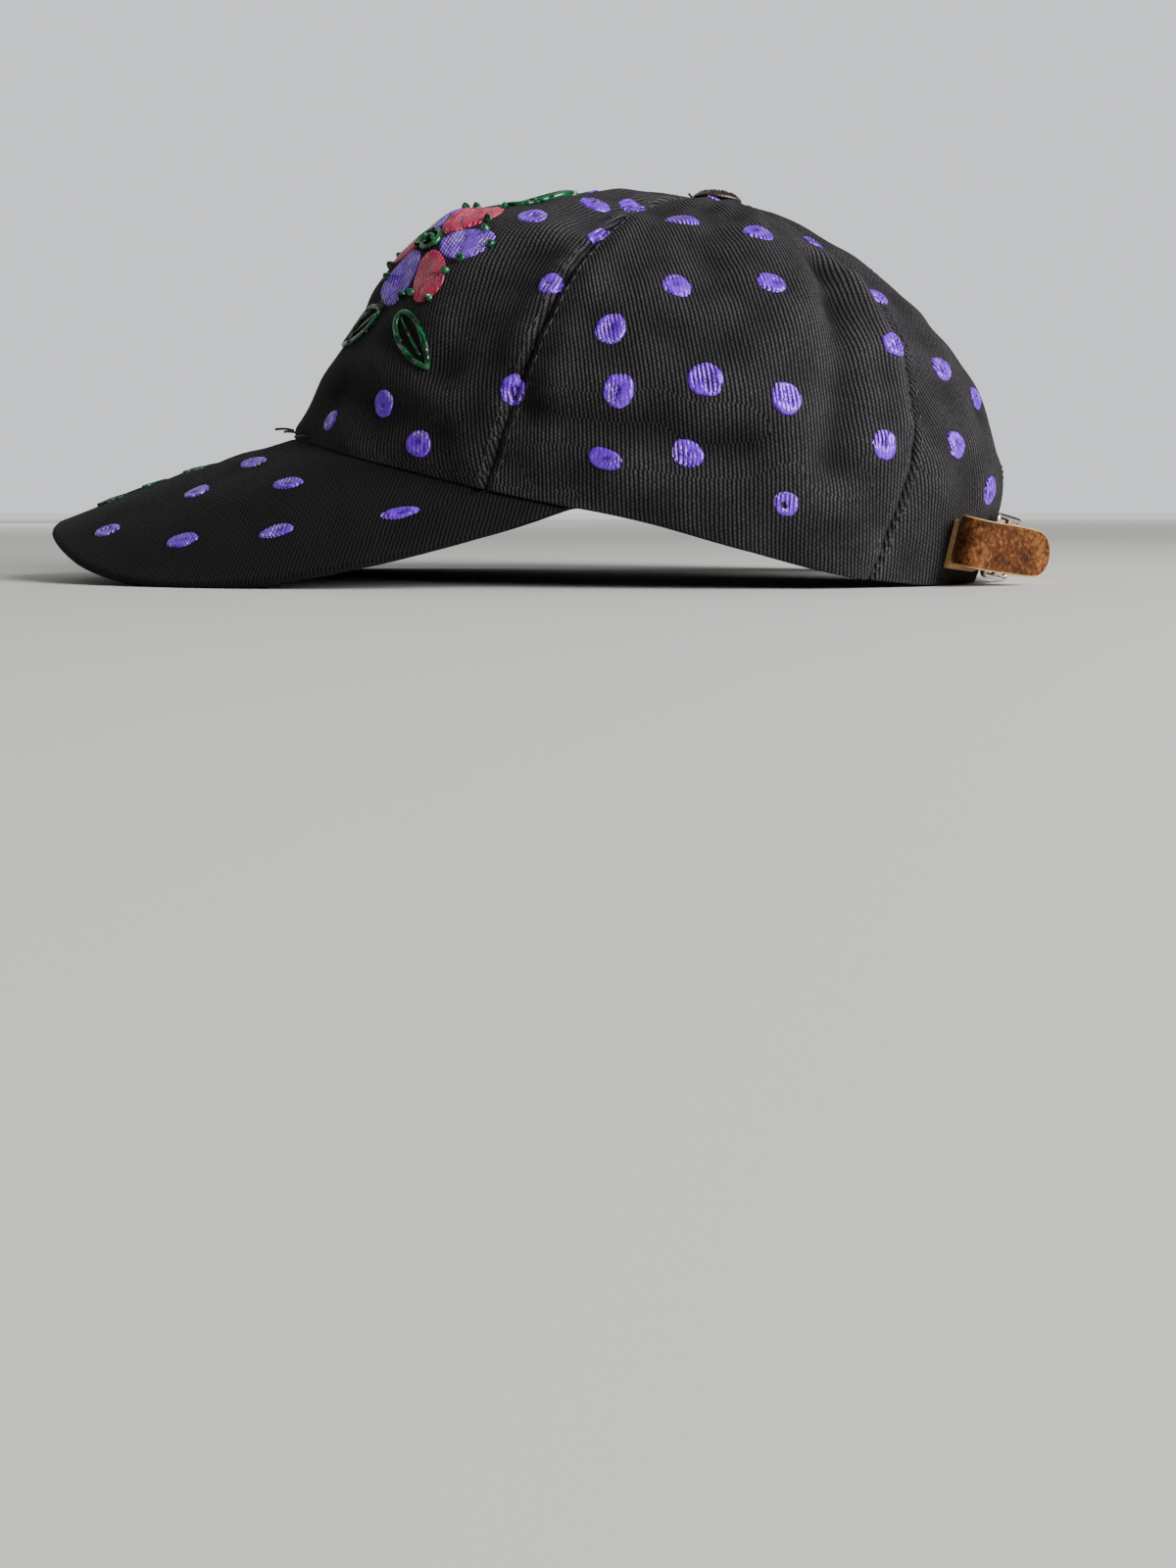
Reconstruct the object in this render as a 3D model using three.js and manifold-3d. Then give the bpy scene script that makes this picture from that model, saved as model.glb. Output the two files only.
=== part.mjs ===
// A soft cotton-twill baseball cap, resting on a table on its peak and the back of its rim.
// Six sewn crown panels meet under a covered button. A stiff curved peak is sewn under the front,
// and a leather strap closes the half-moon opening at the back through a wire slide buckle.
// Millimetres, +Z up, the front faces -Y and the wearer's left side is +X.
import * as THREE from 'three';
import Module from 'manifold-3d';

const wasm = await Module();
wasm.setup();

// Crown: each reach runs from the button's axis to the rim, and heights are over the side rim
const frontReach = 110.5;
const sideReach = 81;
const backReach = 87;
const crownHeight = 89;
const rimFullness = 2.2;
const topFullness = 2;
const rimFrontLift = 11;
const rimFrontSharpness = 2.6;
const rimBackDrop = 9;
const rimBackDropFrom = 70;
const rimBackDropTo = 125;
const clothThickness = 1.6;
const panelPuff = 1.6;
const seamDip = 1.0;
const seamDipWidth = 5;

// Share of the puff and dips that is left at the rim, and how fast they grow above it
const reliefAtRim = 0.3;
const reliefRise = 4;

// Clearance between two pieces that are sewn or pressed together
const seatGap = 0.3;

// Opening at the back, above the strap
const openingWidth = 70;
const openingHeight = 34;

// Peak
const peakLength = 70;
const peakDrop = 33;
const peakCornerAzimuth = 69;
const peakThickness = 3.2;
const peakTuck = 1.4;
const peakCornerThickness = 1.6;
const peakCamber = 1.6;
const peakEdgeRound = 1.1;
const peakThinningLength = 19;

// Button on top
const buttonRadius = 7;
const buttonHeight = 3.2;
const buttonSkirt = 0.5;
const buttonUnderRadius = 6.5;
const buttonShankRadius = 2.4;
const buttonFlangeRadius = 6;
const buttonFlangeThickness = 1;
const buttonHoleRadius = 3.8;

// Leather strap and its wire buckle
const strapWidth = 12.7;
const strapThickness = 1.6;
const hairpinRadius = 3.4;
const hairpinTurn = 170;
const tailLength = 25;
const tailDroop = 7;
const stubTabLength = 4.2;
const buckleWire = 0.8;
const buckleCornerRadius = 1.4;
const buckleOverhang = 0.7;
const buckleTableGap = 1;

// How much of the rim and peak the table presses flat
const restFlat = 0.6;

// Meridians of the crown from the rim up to the button, at even steps along the cloth.
// "Out" is a share of that side's reach, "Up" a share of the height from the rim to the button.
const meridianRows = [
  { frontOut: 1.000, frontUp: 0.000, sideOut: 1.000, sideUp: 0.000, backOut: 0.985, backUp: 0.000 },
  { frontOut: 0.946, frontUp: 0.179, sideOut: 1.026, sideUp: 0.150, backOut: 1.008, backUp: 0.149 },
  { frontOut: 0.882, frontUp: 0.349, sideOut: 1.026, sideUp: 0.302, backOut: 1.013, backUp: 0.301 },
  { frontOut: 0.832, frontUp: 0.521, sideOut: 0.983, sideUp: 0.447, backOut: 0.944, backUp: 0.441 },
  { frontOut: 0.767, frontUp: 0.686, sideOut: 0.906, sideUp: 0.584, backOut: 0.846, backUp: 0.574 },
  { frontOut: 0.674, frontUp: 0.814, sideOut: 0.796, sideUp: 0.706, backOut: 0.716, backUp: 0.686 },
  { frontOut: 0.534, frontUp: 0.876, sideOut: 0.660, sideUp: 0.806, backOut: 0.573, backUp: 0.776 },
  { frontOut: 0.404, frontUp: 0.922, sideOut: 0.508, sideUp: 0.882, backOut: 0.440, backUp: 0.853 },
  { frontOut: 0.272, frontUp: 0.963, sideOut: 0.345, sideUp: 0.940, backOut: 0.302, backUp: 0.926 },
  { frontOut: 0.136, frontUp: 0.988, sideOut: 0.175, sideUp: 0.980, backOut: 0.155, backUp: 0.975 },
  { frontOut: 0.000, frontUp: 1.000, sideOut: 0.000, sideUp: 1.000, backOut: 0.000, backUp: 1.000 },
];

// Seams as azimuths in degrees from the front, at the rim, part of the way up and at the button
const seamRows = {
  frontCentre: { rim: 0, middle: 0, top: 0 },
  frontSide: { rim: 54, middle: 59.5, top: 56 },
  sideBack: { rim: 122.5, middle: 131, top: 132 },
  backCentre: { rim: 180, middle: 180, top: 180 },
};
const seamMiddle = 0.4;

// Soft folds and dents that lie along a line on the crown. Azimuths are in degrees, negative on
// the right side. Levels run from 0 at the rim to 1 at the button. Width and depth are shares of
// sideReach, and a negative depth is a dent. From rim to button the cloth is clothPerHeight times
// as long as the crown is high.
const clothPerHeight = 1.6;
const foldRows = [
  { azimuth: 9, level: 0.02, toAzimuth: 24, toLevel: 0.47, width: 0.09, depth: 0.024 },
  { azimuth: 12, level: 0.46, toAzimuth: 26, toLevel: 0.58, width: 0.09, depth: -0.015 },
  { azimuth: 44, level: 0.18, toAzimuth: 49, toLevel: 0.44, width: 0.09, depth: -0.034 },
  { azimuth: 22, level: 0.10, toAzimuth: 45, toLevel: 0.09, width: 0.07, depth: -0.020 },
  { azimuth: 114, level: 0.16, toAzimuth: 119, toLevel: 0.56, width: 0.10, depth: -0.034 },
  { azimuth: 66, level: 0.15, toAzimuth: 88, toLevel: 0.13, width: 0.10, depth: -0.016 },
  { azimuth: 84, level: 0.72, toAzimuth: 88, toLevel: 0.45, width: 0.10, depth: -0.018 },
  { azimuth: 146, level: 0.60, toAzimuth: 145, toLevel: 0.26, width: 0.07, depth: 0.014 },
  { azimuth: 138, level: 0.62, toAzimuth: 138, toLevel: 0.36, width: 0.06, depth: -0.016 },
  { azimuth: 158, level: 0.56, toAzimuth: 160, toLevel: 0.34, width: 0.07, depth: 0.010 },
  { azimuth: -10, level: 0.04, toAzimuth: -25, toLevel: 0.46, width: 0.09, depth: 0.022 },
  { azimuth: -46, level: 0.16, toAzimuth: -50, toLevel: 0.40, width: 0.09, depth: -0.028 },
  { azimuth: -78, level: 0.14, toAzimuth: -100, toLevel: 0.16, width: 0.10, depth: -0.018 },
  { azimuth: -112, level: 0.20, toAzimuth: -117, toLevel: 0.52, width: 0.10, depth: -0.028 },
  { azimuth: -144, level: 0.58, toAzimuth: -148, toLevel: 0.30, width: 0.08, depth: 0.013 },
];

// Outer edge of the peak, from its tip to its corner. "along" is the share of the corner azimuth
// that the row faces, "across" a share of the corner's half width, "out" a share of the way
// forward from the corner to the tip, and "drop" a share of peakDrop.
const peakEdgeRows = [
  { along: 0.00, across: 0.000, out: 1.000, drop: 0.66 },
  { along: 0.18, across: 0.310, out: 0.962, drop: 0.74 },
  { along: 0.36, across: 0.590, out: 0.868, drop: 0.90 },
  { along: 0.52, across: 0.790, out: 0.735, drop: 0.97 },
  { along: 0.68, across: 0.940, out: 0.560, drop: 0.88 },
  { along: 0.82, across: 1.020, out: 0.350, drop: 0.62 },
  { along: 0.92, across: 1.030, out: 0.165, drop: 0.33 },
  { along: 1.00, across: 1.000, out: 0.000, drop: 0.00 },
];

// Plan of the strap along the outside of the rim, as azimuths from the back centre, positive
// towards the left. "off" is its clearance from the smooth crown in strap thicknesses, and "up" its
// rise over the line that the buckle needs above the table, in strap widths.
const strapRows = [
  { azimuth: -43, off: 0.75, up: 0.20 },
  { azimuth: -34, off: 0.85, up: 0.12 },
  { azimuth: -26, off: 0.95, up: 0.06 },
  { azimuth: -18, off: 1.7, up: 0.02 },
  { azimuth: -8, off: 2.5, up: 0 },
  { azimuth: 2, off: 2.7, up: 0 },
  { azimuth: 11, off: 2.8, up: 0 },
  { azimuth: 17.5, off: 2.9, up: 0 },
  { azimuth: 22.8, off: 4.2, up: 0 },
  { azimuth: 28, off: 4.45, up: 0 },
  { azimuth: 31.5, off: 4.3, up: 0.03 },
  { azimuth: 36, off: 2.6, up: 0.10 },
  { azimuth: 40, off: 2.1, up: 0.18 },
];
const stubRows = [
  { azimuth: 41, off: 0.75, up: 0.12 },
  { azimuth: 35.5, off: 0.8, up: 0.05 },
  { azimuth: 30.5, off: 0.8, up: 0 },
];
const buckleRight = { azimuth: 17.5, off: 4.1, up: 0 };
const buckleLeft = { azimuth: 28, off: 2, up: 0 };

const TAU = 2 * Math.PI;
const radians = THREE.MathUtils.degToRad;
const { lerp, smoothstep } = THREE.MathUtils;

// Smooth value of a table's column between its rows, at a place from 0 to rows.length - 1
function between(rows, column, place) {
  const last = rows.length - 1;
  const i = Math.min(Math.max(Math.floor(place), 0), last - 1);
  const f = place - i;
  const at = (k) => rows[Math.min(Math.max(k, 0), last)][column];
  const [a, b, c, d] = [at(i - 1), at(i), at(i + 1), at(i + 2)];
  return b + 0.5 * f * (c - a + f * (2 * a - 5 * b + 4 * c - d + f * (3 * (b - c) + d - a)));
}

// Place in a table whose "key" column rises or falls steadily
function placeOf(rows, key, value) {
  const sign = Math.sign(rows[rows.length - 1][key] - rows[0][key]);
  let i = 0;
  while (i < rows.length - 2 && sign * rows[i + 1][key] < sign * value) {
    i += 1;
  }
  return i + (value - rows[i][key]) / (rows[i + 1][key] - rows[i][key]);
}

// Value between low and high at which isBefore turns false
function bisect(low, high, isBefore) {
  const middle = (low + high) / 2;
  if (high - low < 1e-10) {
    return middle;
  }
  return isBefore(middle) ? bisect(middle, high, isBefore) : bisect(low, middle, isBefore);
}

// Crown surface
function rimHeight(azimuth) {
  const turn = Math.abs(azimuth);
  const towardsFront = Math.max(Math.cos(turn), 0);
  return rimFrontLift * towardsFront ** rimFrontSharpness
    - rimBackDrop * smoothstep(turn, radians(rimBackDropFrom), radians(rimBackDropTo));
}

function smoothCrown(azimuth, level) {
  const at = (column) => between(meridianRows, column, level * (meridianRows.length - 1));
  const forward = Math.cos(azimuth);
  const sideways = Math.sin(azimuth);
  const isFront = forward > 0;
  const along = isFront ? frontReach * at('frontOut') : backReach * at('backOut');
  const across = sideReach * at('sideOut');
  const fullness = lerp(rimFullness, topFullness, level);
  const reach = (Math.abs(sideways / across) ** fullness
    + Math.abs(forward / along) ** fullness) ** (-1 / fullness);
  const up = lerp(at('sideUp'), at(isFront ? 'frontUp' : 'backUp'), forward ** 2);
  const rim = rimHeight(azimuth);
  return new THREE.Vector3(reach * sideways, -reach * forward, lerp(rim, crownHeight, up));
}

function outwardAt(surface, azimuth, level) {
  const step = 0.004;
  const low = Math.max(level - step, 0);
  const around = surface(azimuth + step, level).sub(surface(azimuth - step, level));
  const upward = surface(azimuth, level + step).sub(surface(azimuth, low));
  return around.cross(upward).normalize();
}

function seamAzimuth(seam, level) {
  const { rim, middle, top } = seamRows[seam];
  const m = seamMiddle;
  const degrees = (rim * (level - m) * (level - 1)) / m
    + (middle * level * (level - 1)) / (m * (m - 1))
    + (top * level * (level - m)) / (1 - m);
  return radians(degrees);
}

function foldDepth(azimuth, level) {
  const clothHeight = crownHeight * clothPerHeight;
  let depth = 0;
  for (const fold of foldRows) {
    const startX = radians(fold.azimuth) * sideReach;
    const startY = fold.level * clothHeight;
    const runX = radians(fold.toAzimuth) * sideReach - startX;
    const runY = fold.toLevel * clothHeight - startY;
    const x = azimuth * sideReach - startX;
    const y = level * clothHeight - startY;
    const share = THREE.MathUtils.clamp((x * runX + y * runY) / (runX ** 2 + runY ** 2), 0, 1);
    const distance = Math.hypot(x - share * runX, y - share * runY);
    depth += sideReach * fold.depth * Math.exp(-((distance / (sideReach * fold.width)) ** 2));
  }
  return depth;
}

// The panels stand proud between their seams and dip into each seam
function panelRelief(azimuth, level) {
  const turn = Math.abs(azimuth);
  const seams = Object.keys(seamRows).map((seam) => seamAzimuth(seam, level));
  const reach = Math.hypot(...smoothCrown(azimuth, level).toArray().slice(0, 2));
  const gaps = seams.map((seam) => Math.abs(turn - seam) * reach);
  const nearest = Math.min(...gaps);
  const next = seams.findIndex((seam) => seam >= turn - 1e-9);
  const high = seams[Math.max(next, 1)];
  const low = seams[Math.max(next, 1) - 1];
  const share = (turn - low) / (high - low);
  const nearButton = Math.min(1, (2 * reach) / sideReach);
  const fade = nearButton * Math.min(1, reliefAtRim + level * reliefRise);
  const puff = panelPuff * Math.sin(Math.PI * THREE.MathUtils.clamp(share, 0, 1));
  return fade * (puff - seamDip * Math.exp(-((nearest / seamDipWidth) ** 2)));
}

function crown(azimuth, level) {
  const turn = Math.atan2(Math.sin(azimuth), Math.cos(azimuth));
  const relief = panelRelief(turn, level) + foldDepth(turn, level);
  const outward = outwardAt(smoothCrown, azimuth, level);
  return smoothCrown(azimuth, level).addScaledVector(outward, relief);
}

// Meshes
function geometryOf(triangles) {
  const faces = triangles.filter(([a, b, c]) => {
    const area = b.clone().sub(a).cross(c.clone().sub(a)).length();
    return area > 1e-7;
  });
  const volume = faces.reduce((sum, [a, b, c]) => sum + a.dot(b.clone().cross(c)), 0);
  const points = faces.flatMap(([a, b, c]) => (volume > 0 ? [a, b, c] : [a, c, b]));
  return new THREE.BufferGeometry().setFromPoints(points);
}

function strip(a, b, c, d) {
  return [[a, b, c], [a, c, d]];
}

// A wall between two equal grids of points, closed round its four edges
function wallBetween(outer, inner) {
  const triangles = [];
  const rows = outer.length - 1;
  const columns = outer[0].length - 1;
  for (let i = 0; i < rows; i += 1) {
    for (let j = 0; j < columns; j += 1) {
      triangles.push(...strip(outer[i][j], outer[i][j + 1], outer[i + 1][j + 1], outer[i + 1][j]));
      triangles.push(...strip(inner[i][j], inner[i + 1][j], inner[i + 1][j + 1], inner[i][j + 1]));
    }
    triangles.push(...strip(outer[i][0], outer[i + 1][0], inner[i + 1][0], inner[i][0]));
    triangles.push(
      ...strip(outer[i + 1][columns], outer[i][columns], inner[i][columns], inner[i + 1][columns]),
    );
  }
  for (let j = 0; j < columns; j += 1) {
    triangles.push(...strip(outer[0][j + 1], outer[0][j], inner[0][j], inner[0][j + 1]));
    triangles.push(
      ...strip(outer[rows][j], outer[rows][j + 1], inner[rows][j + 1], inner[rows][j]),
    );
  }
  return geometryOf(triangles);
}

// A flat strip of leather through stations that each give its centre, width and thickness
function ribbon(stations) {
  const corner = (station, acrossSign, throughSign) => station.centre.clone()
    .addScaledVector(station.across, acrossSign * station.halfWidth)
    .addScaledVector(station.through, (throughSign * strapThickness) / 2);
  const side = (throughSign) => stations.map(
    (station) => [corner(station, -1, throughSign), corner(station, 1, throughSign)],
  );
  return wallBetween(side(1), side(-1));
}

function solidOf(geometry) {
  const position = geometry.attributes.position.array;
  const found = new Map();
  const vertices = [];
  const triangles = [];
  for (let i = 0; i < position.length; i += 3) {
    const key = [0, 1, 2].map((k) => Math.round(position[i + k] * 1e4)).join();
    if (!found.has(key)) {
      found.set(key, found.size);
      vertices.push(position[i], position[i + 1], position[i + 2]);
    }
    triangles.push(found.get(key));
  }
  return new wasm.Manifold(new wasm.Mesh({
    numProp: 3,
    vertProperties: new Float32Array(vertices),
    triVerts: new Uint32Array(triangles),
  }));
}

function geometryOfSolid(solid) {
  const mesh = solid.getMesh();
  const geometry = new THREE.BufferGeometry();
  geometry.setAttribute('position', new THREE.BufferAttribute(mesh.vertProperties, 3));
  geometry.setIndex(new THREE.BufferAttribute(mesh.triVerts, 1));
  return geometry.toNonIndexed();
}

// Crown panels
const columnsOfPanel = 10;
const rowsOfPanel = 17;
const rowsBesideOpening = 6;
const meridianLength = (() => {
  const steps = 40;
  let length = 0;
  for (let i = 0; i < steps; i += 1) {
    length += smoothCrown(Math.PI, i / steps).distanceTo(smoothCrown(Math.PI, (i + 1) / steps));
  }
  return length;
})();
const openingLevel = openingHeight / meridianLength;

// Level near the button at which the crown is this far from the button's axis
function levelAtRadius(radius) {
  const isFurther = (level) => smoothCrown(Math.PI, level).setZ(0).length() > radius;
  return bisect(0.8, 1, isFurther);
}
const topLevel = levelAtRadius(buttonHoleRadius);

function openingAzimuth(level) {
  const share = Math.min(level / openingLevel, 1);
  const halfWidth = (openingWidth / 2) * Math.sqrt(1 - share ** 2);
  return Math.PI - Math.asin(halfWidth / backReach);
}

function panelLevels(hasOpening) {
  const below = hasOpening ? rowsBesideOpening : 0;
  const start = hasOpening ? openingLevel : 0;
  const above = rowsOfPanel - below;
  const levels = [];
  for (let i = 0; i < below; i += 1) {
    levels.push(openingLevel * Math.sin((i / below) * (Math.PI / 2)));
  }
  for (let i = 0; i <= above; i += 1) {
    levels.push(lerp(start, topLevel, i / above));
  }
  return levels;
}

function panel(fromSeam, toSeam, side) {
  const hasOpening = toSeam === 'backCentre';
  const outer = [];
  const inner = [];
  for (const level of panelLevels(hasOpening)) {
    const reachAt = (azimuth) => smoothCrown(azimuth, level).setZ(0).length();
    const seam = seamAzimuth(fromSeam, level);
    const nextSeam = seamAzimuth(toSeam, level);
    const from = seam + seatGap / 2 / reachAt(seam);
    const seamSide = nextSeam - seatGap / 2 / reachAt(nextSeam);
    const to = hasOpening ? Math.min(seamSide, openingAzimuth(level)) : seamSide;
    const outerRow = [];
    const innerRow = [];
    for (let j = 0; j <= columnsOfPanel; j += 1) {
      const share = 0.5 - 0.5 * Math.cos((Math.PI * j) / columnsOfPanel);
      const azimuth = side * lerp(from, to, share);
      const point = crown(azimuth, level);
      const outward = outwardAt(crown, azimuth, level);
      if (level === 0) {
        point.z = rimHeight(azimuth);
        outward.setZ(0).normalize();
      }
      outerRow.push(point);
      innerRow.push(point.clone().addScaledVector(outward, -clothThickness));
    }
    outer.push(outerRow);
    inner.push(innerRow);
  }
  return { outer, inner };
}

const panelSpecs = [];
for (const [sideName, side] of [['left', 1], ['right', -1]]) {
  panelSpecs.push([`panel_front_${sideName}`, panel('frontCentre', 'frontSide', side)]);
  panelSpecs.push([`panel_side_${sideName}`, panel('frontSide', 'sideBack', side)]);
  panelSpecs.push([`panel_back_${sideName}`, panel('sideBack', 'backCentre', side)]);
}

// Peak: ruled from the front of the rim to its own outer edge, which sinks towards the sides
const peakRulings = 36;
const peakSteps = 6;

function peakSeat(share) {
  const azimuth = share * radians(peakCornerAzimuth);
  const rim = crown(azimuth, 0);
  const outward = outwardAt(crown, azimuth, 0).setZ(0).normalize();
  rim.z = rimHeight(azimuth) - seatGap;
  return {
    under: rim.clone().addScaledVector(outward, -clothThickness),
    back: rim.clone().addScaledVector(outward, -clothThickness - peakTuck),
  };
}

function peakEdge(share) {
  const corner = peakSeat(1).under;
  const tipForward = frontReach + peakLength;
  const place = placeOf(peakEdgeRows, 'along', Math.abs(share));
  const at = (column) => between(peakEdgeRows, column, place);
  return new THREE.Vector3(
    Math.sign(share) * corner.x * at('across'),
    lerp(corner.y, -tipForward, at('out')),
    corner.z - peakDrop * at('drop'),
  );
}

function peakTop(share, reach) {
  const seat = peakSeat(share).under;
  const edge = peakEdge(share);
  const width = seat.distanceTo(edge);
  const camber = peakCamber * Math.min(1, width / peakLength) * Math.sin(Math.PI * reach);
  return seat.lerp(edge, reach).add(new THREE.Vector3(0, 0, camber));
}

function peakNormal(share, reach) {
  const step = 0.02;
  const inside = THREE.MathUtils.clamp(share, -0.97, 0.97);
  const low = Math.max(reach - step, 0);
  const high = Math.min(reach + step, 1);
  const around = peakTop(inside + step, reach).sub(peakTop(inside - step, reach));
  const outwards = peakTop(inside, high).sub(peakTop(inside, low));
  const normal = around.cross(outwards).normalize();
  return normal.z < 0 ? normal.negate() : normal;
}

function peakThicknessAt(share) {
  const fromCorner = radians(peakCornerAzimuth) * sideReach * (1 - Math.abs(share));
  return lerp(peakCornerThickness, peakThickness, smoothstep(fromCorner, 0, peakThinningLength));
}

// Near the corners the peak is too narrow for a rounded edge, and ends in a short nose instead
const narrowPeak = 3 * peakEdgeRound;
const narrowReach = 0.6;
const noseShare = 0.3;

function peak() {
  const outer = [];
  const inner = [];
  for (let i = 0; i <= peakRulings; i += 1) {
    const share = Math.sin(((i / peakRulings) * 2 - 1) * (Math.PI / 2));
    const seat = peakSeat(share);
    const edge = peakEdge(share);
    const width = seat.under.distanceTo(edge);
    const lastReach = width > narrowPeak ? 1 - peakEdgeRound / width : narrowReach;
    const topRow = [seat.back];
    const thickness = peakThicknessAt(share);
    const bottomRow = [seat.back.clone().add(new THREE.Vector3(0, 0, -thickness))];
    for (let j = 0; j <= peakSteps; j += 1) {
      const reach = (lastReach * j) / peakSteps;
      const top = peakTop(share, reach);
      topRow.push(top);
      const normal = peakNormal(share, reach);
      bottomRow.push(top.clone().addScaledVector(normal, -thickness));
    }
    const nose = edge.addScaledVector(peakNormal(share, 1), -thickness / 2);
    if (width <= narrowPeak) {
      nose.copy(topRow[topRow.length - 1]).lerp(bottomRow[bottomRow.length - 1], 0.5);
      nose.add(seat.under.clone().sub(seat.back).setZ(0).multiplyScalar(noseShare));
    }
    topRow.push(nose);
    bottomRow.push(nose);
    outer.push(topRow);
    inner.push(bottomRow);
  }
  return { outer, inner };
}

// Rest: the cap tips back until the peak and the back of the rim stand level
const peakGrids = peak();
const restingPoints = [
  ...peakGrids.inner.flat(),
  ...panelSpecs.flatMap(([, grids]) => [...grids.outer[0], ...grids.inner[0]]),
];
const heightAt = (point, angle) => point.z * Math.cos(angle) - point.y * Math.sin(angle);
const lowest = (points, angle) => Math.min(...points.map((point) => heightAt(point, angle)));

const ahead = restingPoints.filter((point) => point.y < 0);
const behind = restingPoints.filter((point) => point.y > 0);
const mostTip = radians(30);
const tip = bisect(0, mostTip, (angle) => lowest(ahead, angle) < lowest(behind, angle));
const tableHeight = lowest(restingPoints, tip) + restFlat;
const tableUp = new THREE.Vector3(0, -Math.sin(tip), Math.cos(tip));

function pressFlat(points) {
  for (const point of new Set(points)) {
    const sunk = tableHeight - point.dot(tableUp);
    point.addScaledVector(tableUp, Math.max(sunk, 0));
  }
}
pressFlat([...peakGrids.outer.flat(), ...peakGrids.inner.flat()]);
for (const [, grids] of panelSpecs) {
  pressFlat([...grids.outer.flat(), ...grids.inner.flat()]);
}

// Strap: follows the outside of the rim, then doubles back into a free tail
const strapTableGap = buckleTableGap + buckleOverhang + 2 * buckleWire;

function strapStation({ azimuth, off, up }) {
  const turn = Math.PI - radians(azimuth);
  const around = new THREE.Vector3(-Math.cos(turn), -Math.sin(turn), 0);
  const station = { halfWidth: strapWidth / 2 };
  let low = 0;
  for (let pass = 0; pass < 4; pass += 1) {
    const high = low + strapWidth / meridianLength;
    const bottom = smoothCrown(turn, low);
    const top = smoothCrown(turn, high);
    station.across = top.clone().sub(bottom).normalize();
    station.through = around.clone().cross(station.across).normalize();
    if (station.through.dot(bottom) < 0) station.through.negate();
    station.centre = bottom.clone().lerp(top, 0.5);
    const bulge = smoothCrown(turn, (low + high) / 2).sub(station.centre).dot(station.through);
    const distance = strapThickness * (off + 0.5) + Math.max(bulge, 0);
    station.centre.addScaledVector(station.through, distance);
    const edge = station.centre.clone().addScaledVector(station.across, -station.halfWidth);
    const rise = tableUp.dot(edge) - tableHeight;
    low += (strapTableGap + up * strapWidth - rise) / meridianLength;
  }
  return station;
}

function strapPath(rows, steps) {
  const stations = [];
  for (let i = 0; i <= steps; i += 1) {
    const place = (i / steps) * (rows.length - 1);
    stations.push(strapStation({
      azimuth: between(rows, 'azimuth', place),
      off: between(rows, 'off', place),
      up: between(rows, 'up', place),
    }));
  }
  stations.forEach((station, i) => {
    const before = stations[Math.max(i - 1, 0)].centre;
    const after = stations[Math.min(i + 1, steps)].centre;
    const along = after.clone().sub(before).normalize();
    const through = along.cross(station.across).normalize();
    station.through = through.dot(station.through) < 0 ? through.negate() : through;
  });
  return stations;
}

// The end of a strip is a half round of its own width, cut off short where it gets too narrow
function roundedEnd(station, direction, length) {
  const stations = [];
  const steps = 5;
  const lastTurn = radians(80);
  for (let i = 1; i <= steps; i += 1) {
    const turn = (i / steps) * lastTurn;
    stations.push({
      ...station,
      centre: station.centre.clone()
        .addScaledVector(direction, length - (strapWidth / 2) * (1 - Math.sin(turn))),
      halfWidth: (strapWidth / 2) * Math.cos(turn),
    });
  }
  return stations;
}

function hairpin(start, direction, radius, turnAngle, acrossEnd) {
  const stations = [];
  const steps = 9;
  const centre = start.centre.clone().addScaledVector(start.through, radius);
  for (let i = 1; i <= steps; i += 1) {
    const turn = (i / steps) * radians(turnAngle);
    const across = start.across.clone().lerp(acrossEnd, i / steps).normalize();
    const out = start.through.clone().multiplyScalar(Math.cos(turn))
      .addScaledVector(direction, -Math.sin(turn));
    stations.push({
      centre: centre.clone().addScaledVector(out, -radius),
      across,
      through: out.addScaledVector(across, -out.dot(across)).normalize(),
      halfWidth: start.halfWidth,
    });
  }
  return stations;
}

function strap() {
  const onRim = strapPath(strapRows, 40);
  const end = onRim[onRim.length - 1];
  const direction = end.centre.clone().sub(onRim[onRim.length - 2].centre).normalize();
  const turned = radians(hairpinTurn);
  const tail = direction.clone().multiplyScalar(Math.cos(turned))
    .addScaledVector(end.through, Math.sin(turned));
  tail.addScaledVector(tableUp, -tail.dot(tableUp)).normalize();
  tail.addScaledVector(tableUp, -Math.tan(radians(tailDroop))).normalize();
  const acrossTail = tableUp.clone().addScaledVector(tail, -tail.dot(tableUp)).normalize();
  const bend = hairpin(end, direction, hairpinRadius, hairpinTurn, acrossTail);
  const foldEnd = bend[bend.length - 1];
  const startOfTail = { ...foldEnd, through: tail.clone().cross(acrossTail).normalize() };
  if (startOfTail.through.dot(foldEnd.through) < 0) startOfTail.through.negate();
  const straight = [0.3, 0.6].map((share) => ({
    ...startOfTail,
    centre: startOfTail.centre.clone().addScaledVector(tail, share * tailLength),
  }));
  return [...onRim, ...bend, ...straight, ...roundedEnd(startOfTail, tail, tailLength)];
}

// Plane of the buckle, whose left bar lies close to the crown and whose right bar lies outside
const buckleFrame = (() => {
  const right = strapStation(buckleRight);
  const left = strapStation(buckleLeft);
  const up = left.across.clone().add(right.across).normalize();
  const side = left.centre.clone().sub(right.centre);
  side.addScaledVector(up, -side.dot(up));
  const halfAcross = side.length() / 2;
  side.normalize();
  return {
    up,
    side,
    halfAcross,
    halfUp: strapWidth / 2 + buckleOverhang + buckleWire,
    normal: side.clone().cross(up).normalize(),
    centre: left.centre.clone().lerp(right.centre, 0.5),
  };
})();

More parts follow.
